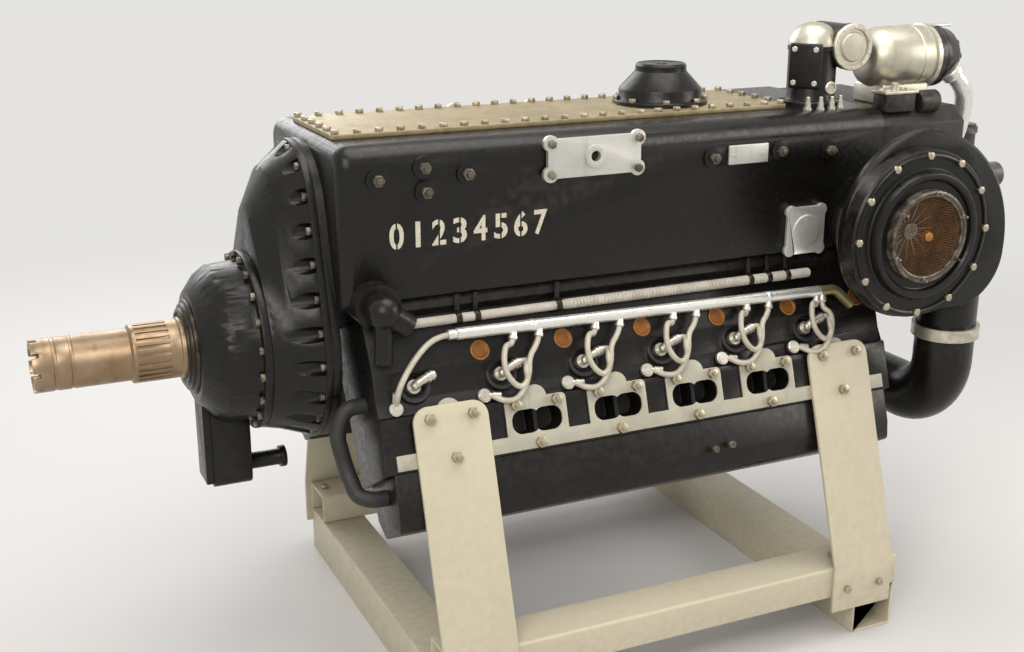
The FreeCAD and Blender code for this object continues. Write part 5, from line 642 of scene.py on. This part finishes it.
# Breather dome on the deck
dome = {
    "place": (0.17, 0, 1.075), "bolts": 8, "boltCircle": 0.091, "flange": 0.009,
    "profile": ((0, 98), (7, 98), (9, 96.5), (9, 88), (12, 86), (28, 86), (32, 84.5), (66, 53), (70, 52.5),
        (77, 52.5), (81.5, 49), (82, 45), (80.5, 42), (80.5, 12), (81.9, 10)),
}
parts = [turned("domeBody", inMetres(dome["profile"]), dome["place"], up, 48)]
for across, along in around(dome["bolts"], dome["boltCircle"]):
    spot = Vector(dome["place"]) + Vector((across, along, dome["flange"]))
    parts.append(hexPiece("domeBolt", 0.01, 0.006, spot, up))
made("breatherCap", parts, "blackEnamel", "breather_dome")

# Supercharger front: cover with its rib, intake ring, wire screen
blower = {
    "x": 0.54, "z": 0.843, "back": -0.368,
    "cover": ((0, 80), (0, 169), (30, 169), (34, 165), (34, 162.5), (37.5, 161), (39, 158), (37.5, 155), (34, 153.5),
        (33.5, 134), (36, 130.5), (46, 127.5), (51, 125), (52, 122), (51.5, 115), (48, 111.5), (41, 109), (40, 107),
        (40, 80), (0, 80)),
    "ring": ((0, 80), (0, 93), (13, 93), (17, 91.5), (18, 89.5), (18, 86.5), (16.5, 85), (16.5, 82.5), (15, 80),
        (0, 80)),
    "ringBack": -0.408, "screen": -0.42, "pitch": 0.0034, "wire": 0.00042, "hole": 0.0805, "studs": 6,
    "studCircle": 0.0868, "nutFlats": 0.018,
}
spot = (blower["x"], blower["back"], blower["z"])
piece = turned("blowerCover", inMetres(blower["cover"]), spot, front, 128, ring=True)
finished(eased(piece, 0, 24), "blackEnamel", "supercharger_cover")
spot = (blower["x"], blower["ringBack"], blower["z"])
parts = [turned("intakeRim", inMetres(blower["ring"]), spot, front, 96, ring=True)]
for across, rise in around(blower["studs"], blower["studCircle"], 0.4):
    spot = Vector((blower["x"] + across, blower["ringBack"] - 0.0175, blower["z"] + rise))
    parts.append(hexPiece("rimNut", 0.0085, 0.006, spot, front, 0.0006))
    bpy.ops.mesh.primitive_cylinder_add(vertices=12, radius=0.0024, depth=0.013, location=spot + front * 0.0065,
                                        rotation=(math.radians(90), 0, 0))
    parts.append(eased(applied(bpy.context.object), 0.0006, 30, 1))
made("intakeRim", parts, "rimSteel", "intake_ring", angle=30)


def wireScreen():
    clearSelection()
    wires = []
    count = int(blower["hole"] / blower["pitch"])
    for index in range(-count, count + 1):
        shift = index * blower["pitch"]
        half = math.sqrt(max(blower["hole"] ** 2 - shift ** 2, 0))
        if half < 0.01:
            continue
        for upright in (False, True):
            spot = (blower["x"] + shift, blower["screen"], blower["z"]) if upright else (
                blower["x"], blower["screen"] - 0.0006, blower["z"] + shift)
            turn = (0, 0, 0) if upright else (0, math.radians(90), 0)
            bpy.ops.mesh.primitive_cylinder_add(vertices=6, radius=blower["wire"], depth=2 * half, location=spot,
                                                rotation=turn)
            wires.append(bpy.context.object)
    screen = joined("wireScreen", wires)
    applied(screen)
    return finished(screen, "meshWire", "intake_screen")


wireScreen()
nut = hexPiece("screenNut", blower["nutFlats"], 0.009, (blower["x"], blower["screen"] + 0.001, blower["z"]), front)
finished(nut, "amberMetal", on="intake_screen")
print("supercharger front made")

# Core plugs: dull amber cups pressed into the upper band of each block
corePlug = {
    "shift": 0.083, "distance": 0.327, "offset": 0.0968,
    "profile": ((0, 18.8), (2.6, 18.8), (3.2, 17.8), (3, 15.5), (1.2, 13.5), (0.6, 12.5), (0.6, 2)),
}
places = [bankPoint(x + corePlug["shift"], corePlug["distance"], corePlug["offset"]) for x in ports]
parts = [turned("corePlug", inMetres(corePlug["profile"]), place, bankNormal, 40) for place in places]
made("corePlugs", parts, "amberMetal", "core_plugs", both=True, angle=30)

# Ignition conduits: bright tube with sleeves, angled outlets, olive tail at the rear
conduit = {
    "front": (-0.397, -0.256, 0.7193), "bend": (0.432, -0.256, 0.7052),
    "tail": ((0.452, -0.2562, 0.7048), (0.474, -0.258, 0.684), (0.492, -0.2592, 0.6675)), "radius": 0.0112,
    "sleeves": (-0.245, 0.285), "outletLean": (-0.34, -0.42, -0.84), "outletReach": 0.024,
    "outlet": ((0, 6.6), (12, 6.6), (12.5, 7.2), (17, 7.2), (17.5, 8.6), (23, 8.6), (24, 7.8), (24, 4)), "low": 0.031,
    "high": -0.022,
}


def conduitPoint(x):
    start, end = Vector(conduit["front"]), Vector(conduit["bend"])
    return start + (end - start) * ((x - start.x) / (end.x - start.x))


def collar(name, spot, toward, radius, width):
    # A short sleeve with rolled edges, centred on its spot
    toward = Vector(toward).normalized()
    inner, edge = radius * 0.8, radius * 0.94
    profile = ((0, inner), (0, edge), (width * 0.12, radius), (width * 0.88, radius), (width, edge), (width, inner))
    return turned(name, profile, Vector(spot) - toward * width / 2, toward, 32)


def conduitPiece():
    start, bend = Vector(conduit["front"]), Vector(conduit["bend"])
    along = (bend - start).normalized()
    radius, reach = conduit["radius"], (bend - start).length - 0.02
    profile = ((0, 0.006), (0, 0.01), (0.001, radius), (reach, radius), (reach, 0.009))
    parts = [turned("conduitTube", profile, start, along, 40)]
    for x in conduit["sleeves"]:
        parts.append(collar("conduitSleeve", conduitPoint(x), along, radius + 0.0009, 0.01))
    parts.append(collar("conduitEnd", start - along * 0.008, -along, 0.0095, 0.016))
    lean = Vector(conduit["outletLean"]).normalized()
    for x in ports[1:]:
        for shift in (conduit["low"], conduit["high"]):
            base = conduitPoint(min(x + shift, bend.x - 0.01))
            parts.append(turned("outlet", inMetres(conduit["outlet"]), base, lean, 24))
    whole = eased(joined("conduits", parts), 0, 34)
    return finished(starboardToo(whole), "drawnTube", "ignition_conduits")


conduitPiece()
tail = tubeAlong("conduitTail", (conduitPoint(0.408), conduitPoint(0.436)) + conduit["tail"], 0.0105)
finished(starboardToo(tail), "oliveTube", on="ignition_conduits")
print("conduits made")

# Plug leads with their eyelets: low and high routes start from the eyelet, the first one stands in the frame
leads = {
    "radius": 0.0056, "eyeShift": -0.097, "eyeDistance": 0.412, "eyeLift": 0.0075, "wellShift": -0.054,
    "wellDistance": 0.375,
    "low": ((0.091, 0.001, 0.062), (0.086, -0.012, 0.037), (0.074, -0.019, 0.01), (0.055, -0.021, -0.01),
        (0.031, -0.016, -0.009), (0.018, -0.008, -0.002)),
    "high": ((0.047, 0.008, 0.09), (0.037, -0.004, 0.07), (0.038, -0.013, 0.043), (0.052, -0.019, 0.021),
        (0.069, -0.019, 0.012), (0.082, -0.016, 0.026), (0.079, -0.011, 0.044)),
    "first": ((-0.422, -0.256, 0.7195), (-0.452, -0.264, 0.714), (-0.486, -0.28, 0.692), (-0.513, -0.294, 0.664),
        (-0.527, -0.3, 0.64)),
    "eye": ((0, 5.2), (0, 11.5), (1.5, 13.2), (8.5, 13.2), (10, 11.5), (10, 5.2), (0, 5.2)),
    "ferrule": ((0, 5.8), (6, 5.8), (6.2, 7), (12, 7), (12.2, 6.2), (22, 6.2)),
    "elbowEnd": ((0, 8.5), (0, 10.2), (4, 10.2), (4.2, 8.8), (7, 8.8), (7.2, 10), (11, 10), (11.2, 8), (16, 7.5),
        (16, 5)),
}


def eyePoint(x):
    return bankPoint(x + leads["eyeShift"], leads["eyeDistance"], bank["face"] + leads["eyeLift"])


def outletEnd(x):
    return conduitPoint(x) + Vector(conduit["outletLean"]).normalized() * conduit["outletReach"]


def eyelet(spot, toward):
    # Banjo eye with its bolt and the ferrule that grips the lead
    eye = turned("eye", inMetres(leads["eye"]), spot - bankNormal * 0.005, bankNormal, 32, ring=True)
    bolt = hexPiece("eyeBolt", 0.0115, 0.005, spot + bankNormal * 0.005, bankNormal, 0.0006, washer=False)
    toward = Vector(toward).normalized()
    ferrule = turned("ferrule", inMetres(leads["ferrule"]), spot + toward * 0.009, toward, 24)
    return [eye, bolt, ferrule]


def plugElbow(x):
    # Silver elbow that comes out of a plug well and takes its lead
    base = bankPoint(x + leads["wellShift"], leads["wellDistance"], bank["face"] - 0.012)
    out = base + bankNormal * 0.026
    route = (base, out - bankNormal * 0.004, out + Vector((0.008, -0.002, 0.008)), out + Vector((0.026, 0, 0.013)))
    bend = tubeAlong("elbowTube", route, 0.0085)
    toward = Vector((0.018, 0.001, 0.006)).normalized()
    end = Vector(route[-1])
    nose = turned("elbowFerrule", inMetres(leads["elbowEnd"]), end - toward * 0.004, toward, 24)
    return [bend, nose], end + toward * 0.012


def leadPieces():
    tubes, fittings = [], []
    for index, x in enumerate(ports):
        eye = eyePoint(x)
        if index == 0:
            route = [Vector(conduit["front"]) + Vector((-0.012, 0, 0)), *[Vector(point) for point in leads["first"]],
                     eye + Vector((0, -0.008, 0.022)), eye + Vector((0, -0.001, 0.012))]
            fittings += eyelet(eye, (0, -0.02, 1))
        else:
            start = outletEnd(min(x + conduit["low"], 0.422))
            lean = Vector(conduit["outletLean"]).normalized()
            route = [start - lean * 0.004, start + lean * 0.012, *[eye + Vector(point) for point in leads["low"]],
                     eye + Vector((0.012, -0.002, 0))]
            fittings += eyelet(eye, (1, -0.22, -0.04))
        tubes.append(tubeAlong("lead", route, leads["radius"]))
        elbow, end = plugElbow(x)
        fittings += elbow
        if index:
            start = outletEnd(x + conduit["high"])
            route = [start - lean * 0.004, start + lean * 0.01, *[eye + Vector(point) for point in leads["high"]],
                     end + Vector((0.012, -0.004, 0.004)), end]
            tubes.append(tubeAlong("lead", route, leads["radius"]))
    sleeves = starboardToo(joined("plugLeads", tubes))
    finished(sleeves, "leadSleeve", "plug_leads")
    made("leadEnds", fittings, "fitting", on="plug_leads", like="spark_plugs", both=True)


leadPieces()
print("leads made")

# Rubber-lined rims of the plug wells
wellRim = ((0, 21), (0, 30), (3, 31.5), (6, 30), (6.5, 27), (4, 23), (-12, 21.5), (-12, 20.5), (0, 21))
places = [bankPoint(x + leads["wellShift"], leads["wellDistance"], bank["face"]) for x in ports]
parts = [turned("wellRim", inMetres(wellRim), place, bankNormal, 40, ring=True) for place in places]
made("wellRims", parts, "hoseRubber", like="oil_hose", both=True)

# Wrapped oil pipe along the crankcase: bare sleeve in front, black clamps, tape behind
wrapped = {
    "y": -0.2316, "z": 0.741, "front": -0.48, "rear": 0.4, "sleeve": 0.0088, "tape": (0.0088, 0.0101),
    "tapeFrom": -0.165, "wrap": 0.0075, "clamps": (-0.383, -0.346, -0.178, 0.255, 0.3, 0.345), "clampRadius": 0.0118,
    "clampWidth": 0.011,
}


def wrappedPipe():
    start = Vector((wrapped["front"], wrapped["y"], wrapped["z"]))
    bare = wrapped["tapeFrom"] - wrapped["front"]
    profile = [(0, 0.004), (0, 0.0082), (0.001, wrapped["sleeve"]), (bare, wrapped["sleeve"])]
    low, high = wrapped["tape"]
    step = bare
    length = wrapped["rear"] - wrapped["front"]
    while step + wrapped["wrap"] < length:
        profile += [(step + 0.0004, low), (step + 0.0012, high), (step + wrapped["wrap"] * 0.8, high * 0.985),
                    (step + wrapped["wrap"] * 0.9, low)]
        step += wrapped["wrap"] * random.uniform(0.86, 1.2)
    profile += [(length, low), (length, 0.004)]
    pipe = eased(turned("wrappedPipe", profile, start, (1, 0, 0), 24), 0, 50)
    finished(pipe, "wrapTape", "wrapped_pipe")
    rings = []
    for x in wrapped["clamps"]:
        spot = Vector((x, wrapped["y"], wrapped["z"]))
        rings.append(collar("pipeClamp", spot, (1, 0, 0), wrapped["clampRadius"], wrapped["clampWidth"]))
        foot = block("clampFoot", (x - 0.005, wrapped["y"] + 0.004, wrapped["z"] + 0.004),
                     (x + 0.005, -0.222, wrapped["z"] + 0.044), 0.0015, 2)
        rings.append(foot)
    made("pipeClamps", rings, "blackEnamel", on="wrapped_pipe", like="oil_hose")


wrappedPipe()

# Blank plate on the port side of the crankcase, with its two screws
sideParts = {
    "barLow": (0.195, -0.2285, 0.979), "barHigh": (0.287, -0.2218, 1.017), "barScrews": (0.207, 0.275),
    "screwFace": -0.2284, "screwHeight": 0.998,
}
parts = [block("sideBar", sideParts["barLow"], sideParts["barHigh"], 0.0022)]
for x in sideParts["barScrews"]:
    parts.append(hexPiece("barScrew", 0.007, 0.0035, (x, sideParts["screwFace"], sideParts["screwHeight"]), front,
                          0.0005))
made("sideBar", parts, "plateAlloy", like="side_cover", angle=30)

# Drain fittings low on the camshaft covers, port side and its mirror
drains = {
    "spots": ((0.112, 0.434), (0.15, 0.438)), "y": -0.33, "toward": (0, -0.95, 0.31),
    "stub": ((0, 5.5), (16, 5.5), (16.5, 7), (24, 7), (25, 6), (25, 2.5)),
}
parts = []
for x, z in drains["spots"]:
    spot = Vector((x, drains["y"], z))
    toward = Vector(drains["toward"]).normalized()
    parts.append(hexPiece("drainHex", 0.016, 0.007, spot, toward, 0.0008))
    parts.append(turned("drainStub", inMetres(drains["stub"]), spot + toward * 0.005, toward, 20))
made("coverDrains", parts, "darkBolt", like="casing_bolts", both=True)

# Magneto: ribbed silver barrel on its saddle, black end cap with its clip, pipe down to the case
magneto = {
    "y": -0.1, "z": 1.155, "front": 0.606,
    "barrel": ((0, 20), (0, 40), (4, 46), (12, 55), (30, 63.5), (36, 66), (112, 66), (114, 67.5), (120, 67.5),
        (122, 65), (146, 65), (148, 69), (158, 69), (160, 64), (160, 20)),
    "cap": ((159, 30), (159, 64.5), (176, 64.5), (178, 66.5), (184, 66.5), (186, 62), (214, 56), (226, 46), (232, 30),
        (234.5, 12)),
    "saddleLow": (0.626, -0.15, 1.06), "saddleHigh": (0.748, -0.05, 1.104),
    "pipe": ((0.8, -0.15, 1.128), (0.822, -0.156, 1.108), (0.85, -0.15, 1.076), (0.862, -0.136, 1.032),
        (0.856, -0.13, 0.98), (0.836, -0.13, 0.95), (0.806, -0.13, 0.942)),
    "pipeRadius": 0.0195, "lugAngles": (35, 145, 215, 325), "lugCircle": 0.0605, "lugFoot": 0.148,
    "lug": ((0, 3), (0, 9), (10, 9), (10, 3)), "towers": 8, "towerCircle": 0.036, "towerFoot": 0.214,
    "tower": ((0, 9), (8, 9), (18, 7.5), (18, 3)),
    "collar": ((0.806, -0.152, 1.122), (0.62, -0.15, -0.6), 0.025, 0.018),
    "foot": ((0.808, -0.13, 0.942), (-1, 0, 0), 0.026, 0.014), "clipLow": (0.772, -0.118, 1.2165),
    "clipHigh": (0.824, -0.098, 1.2215),
}
origin = Vector((magneto["front"], magneto["y"], magneto["z"]))
parts = [turned("magnetoBarrel", inMetres(magneto["barrel"]), origin, axis, 64),
         block("magnetoSaddle", magneto["saddleLow"], magneto["saddleHigh"], 0.006)]
for angle in map(math.radians, magneto["lugAngles"]):
    out = Vector((0, math.cos(angle), math.sin(angle))) * magneto["lugCircle"]
    parts.append(turned("barrelLug", inMetres(magneto["lug"]), origin + out + axis * magneto["lugFoot"], axis, 16))
made("magnetoBarrel", parts, "castAlloy", "magneto")
parts = [turned("magnetoCap", inMetres(magneto["cap"]), origin, axis, 64)]
for across, rise in around(magneto["towers"], magneto["towerCircle"], 0):
    spot = origin + Vector((magneto["towerFoot"], across, rise))
    parts.append(turned("capTower", inMetres(magneto["tower"]), spot, axis, 16))
made("magnetoCap", parts, "capMould", "magneto_cap")
parts = [tubeAlong("magnetoPipe", magneto["pipe"], magneto["pipeRadius"], sides=8, steps=14),
         collar("pipeCollar", *magneto["collar"]),
         collar("pipeFoot", *magneto["foot"])]
made("magnetoPipe", parts, "drawnTube", "magneto_conduit", angle=40)
clip = block("capClip", magneto["clipLow"], magneto["clipHigh"], 0.0015, 2)
finished(clip, "fitting", on="magneto_cap")
print("magneto made")

# Control tower: black body, domed silver top, four-bolt plate, capsule with its ring of screws
tower = {
    "x": 0.475, "y": -0.1, "foot": 1.066,
    "body": ((0, 20), (0, 64), (10, 64), (12, 62.5), (13, 52), (18, 50), (112, 50), (114, 52), (122, 52), (124, 49),
        (124, 20)),
    "top": ((123, 20), (123, 51), (128, 51.5), (136, 49.5), (150, 43), (162, 31), (168, 18), (170, 6)),
    "arm": ((0, 20), (0, 41), (4, 45), (100, 45), (103, 47.5), (115, 47.5), (115, 20)),
    "armPlace": (0.534, -0.036, 1.187), "plateTurn": -52, "plateSize": (0.068, 0.012, 0.092), "plateOut": 0.049,
    "plateZ": 1.15, "footBolts": 6, "footCircle": 0.0575, "flange": 0.0105, "bolt": (0.011, 0.007),
    "plateBolt": (0.022, 0.034), "window": ((0, 14), (4, 14), (6, 12), (6, 9.5), (4, 9), (4, 1)),
    "windowPlace": (0.487, -0.1488, 1.105),
}
origin = Vector((tower["x"], tower["y"], tower["foot"]))
parts = [turned("towerBody", inMetres(tower["body"]), origin, up, 64),
         turned("towerArm", inMetres(tower["arm"]), tower["armPlace"], front, 64)]
for across, along in around(tower["footBolts"], tower["footCircle"]):
    spot = origin + Vector((across, along, tower["flange"]))
    parts.append(hexPiece("footBolt", *tower["bolt"], spot, up))
bpy.ops.mesh.primitive_cube_add(size=1, location=(0, 0, 0))
plate = bpy.context.object
plate.scale = tower["plateSize"]
eased(applied(plate), 0.005, 30, 3)
turn = math.radians(tower["plateTurn"])
plateWay = Vector((math.sin(turn), -math.cos(turn), 0))
plate.rotation_euler = (0, 0, turn)
plate.location = Vector((tower["x"], tower["y"], tower["plateZ"])) + plateWay * tower["plateOut"]
parts.append(applied(plate))
made("towerBody", parts, "blackEnamel", "control_housing")
parts = [turned("towerTop", inMetres(tower["top"]), origin, up, 64)]
sideWay = Vector((plateWay.y, -plateWay.x, 0))
for side in (-1, 1):
    for end in (-1, 1):
        spot = Vector((tower["x"], tower["y"], tower["plateZ"] + tower["plateBolt"][1] * end))
        spot += plateWay * (tower["plateOut"] + 0.006) + sideWay * (tower["plateBolt"][0] * side)
        parts.append(hexPiece("plateBolt", *tower["bolt"], spot, plateWay))
parts.append(turned("towerWindow", inMetres(tower["window"]), tower["windowPlace"], front, 32))
made("towerTop", parts, "castAlloy", on="control_housing", like="magneto")
capsule = {
    "center": (0.534, -0.151, 1.187), "screws": 10, "screwCircle": 0.0425,
    "profile": ((0, 12), (0, 48), (6, 48), (7.5, 46.5), (7.5, 37.5), (4.5, 36), (4.5, 31), (8.5, 28), (9.2, 16),
        (9.5, 4)),
}
parts = [turned("capsuleLid", inMetres(capsule["profile"]), capsule["center"], front, 64)]
for across, rise in around(capsule["screws"], capsule["screwCircle"]):
    spot = Vector(capsule["center"]) + Vector((across, -0.007, rise))
    parts.append(hexPiece("capsuleScrew", 0.0062, 0.0035, spot, front, 0.0005))
made("capsuleLid", parts, "castAlloy", "control_cover")

# Black box with its drum, silver lid and union, between the tower and the supercharger
regulator = {
    "low": (0.585, -0.212, 1.055), "high": (0.662, -0.168, 1.092), "lidLow": (0.58, -0.214, 1.092),
    "lidHigh": (0.667, -0.166, 1.099), "drum": ((0, 10), (0, 21), (3, 23.5), (48, 23.5), (50, 21.5), (50, 10)),
    "drumPlace": (0.676, -0.196, 1.072), "lidFace": 1.0988,
    "bolts": ((0.596, -0.2), (0.65, -0.2), (0.596, -0.18), (0.65, -0.18)),
    "union": ((0, 10), (6, 10), (6.5, 7.5), (14, 7.5), (15, 6), (15, 2)), "unionPlace": (0.622, -0.19),
}
parts = [block("regulatorBox", regulator["low"], regulator["high"], 0.003),
         turned("regulatorDrum", inMetres(regulator["drum"]), regulator["drumPlace"], axis, 40)]
made("regulatorBox", parts, "satinBlack", like="accessory_case")
parts = [block("regulatorLid", regulator["lidLow"], regulator["lidHigh"], 0.0018)]
for spot in regulator["bolts"]:
    parts.append(hexPiece("lidBolt", 0.008, 0.005, (*spot, regulator["lidFace"]), up))
parts.append(turned("lidUnion", inMetres(regulator["union"]), (*regulator["unionPlace"], regulator["lidFace"]), up,
                    24))
made("regulatorLid", parts, "castAlloy", like="magneto")

# Row of studs ahead of the tower, at the deck's rear edge
studs = {
    "spots": ((0.42, -0.168), (0.446, -0.176), (0.472, -0.178), (0.498, -0.172)), "foot": 1.0655,
    "profile": ((0, 8.5), (5, 8.5), (5.5, 6.2), (16, 6.2), (16.5, 4.2), (26, 4.2), (27, 3)),
}
parts = [turned("deckStud", inMetres(studs["profile"]), (*spot, studs["foot"]), up, 16) for spot in studs["spots"]]
made("deckStuds", parts, "fitting", like="cover_bolts")
print("tower and fittings made")

# Plain digits painted on the crankcase side
digits = {
    "marks": "01234567", "gapped": "02356", "left": -0.508, "pitch": 0.0405, "low": 0.88, "high": 0.927,
    "width": 0.027, "face": -0.2222, "gap": 0.0032, "heavier": 0.022,
}


def sideDigits():
    # One stencilled digit after another, some of them cut by a bridge
    marks = []
    for index, mark in enumerate(digits["marks"]):
        clearSelection()
        bpy.ops.object.text_add(rotation=(math.radians(90), 0, 0))
        piece = bpy.context.object
        piece.data.body = mark
        piece.data.extrude = 0.004
        piece.data.offset = digits["heavier"]
        bpy.ops.object.convert(target="MESH")
        piece = applied(bpy.context.object)
        xs = [corner.co.x for corner in piece.data.vertices]
        zs = [corner.co.z for corner in piece.data.vertices]
        high = (digits["high"] - digits["low"]) / (max(zs) - min(zs))
        wide = high if mark == "1" else digits["width"] / (max(xs) - min(xs))
        middle = digits["left"] + digits["pitch"] * index + digits["width"] / 2
        piece.scale = (wide, 0.05, high)
        piece.location = (middle - (max(xs) + min(xs)) / 2 * wide, digits["face"], digits["low"] - min(zs) * high)
        applied(piece)
        if mark in digits["gapped"]:
            knife = block("bridge", (middle - digits["gap"] / 2, digits["face"] - 0.01, digits["low"] - 0.01),
                          (middle + digits["gap"] / 2, digits["face"] + 0.01, digits["high"] + 0.01), 0)
            pick(piece)
            split = piece.modifiers.new("bridge", "BOOLEAN")
            split.operation = "DIFFERENCE"
            split.object = knife
            bpy.ops.object.modifier_apply(modifier=split.name)
            pick(knife)
            bpy.ops.object.delete()
        marks.append(piece)
    return finished(joined("sideNumber", marks), "paintedDigit")


sideDigits()
print("digits painted")

# Floor that fades into the backdrop further out
bpy.ops.mesh.primitive_plane_add(size=240, location=(0, 0, 0))
floor = bpy.context.object
floor.name = "floor"
paper = bpy.data.materials.new("floorPaper")
paper.use_nodes = True
paperTree = paper.node_tree
paperShader = paperTree.nodes["Principled BSDF"]
paperShader.inputs["Base Color"].default_value = (0.66, 0.65, 0.63, 1)
paperShader.inputs["Roughness"].default_value = 0.9
far = addNode(paperTree, "Emission", values={"Color": backTone, "Strength": 1})
place = addNode(paperTree, "TexCoord")
distance = addNode(paperTree, "VectorMath", {"operation": "LENGTH"})
fade = addNode(paperTree, "MapRange", {"interpolation_type": "SMOOTHSTEP"},
               {"From Min": 1.3, "From Max": 4.2})
direct = seenRays(paperTree)[1]
farShare = addNode(paperTree, "Math", {"operation": "MULTIPLY"})
paperMix = addNode(paperTree, "MixShader")
wire(paperTree, (place, "Object", distance, 0), (distance, "Value", fade, "Value"), (fade, "Result", farShare, 0),
     (direct, 0, farShare, 1), (farShare, 0, paperMix, "Fac"), (paperShader, 0, paperMix, 1), (far, 0, paperMix, 2),
     (paperMix, 0, paperTree.nodes["Material Output"], "Surface"))
floor.data.materials.append(paper)
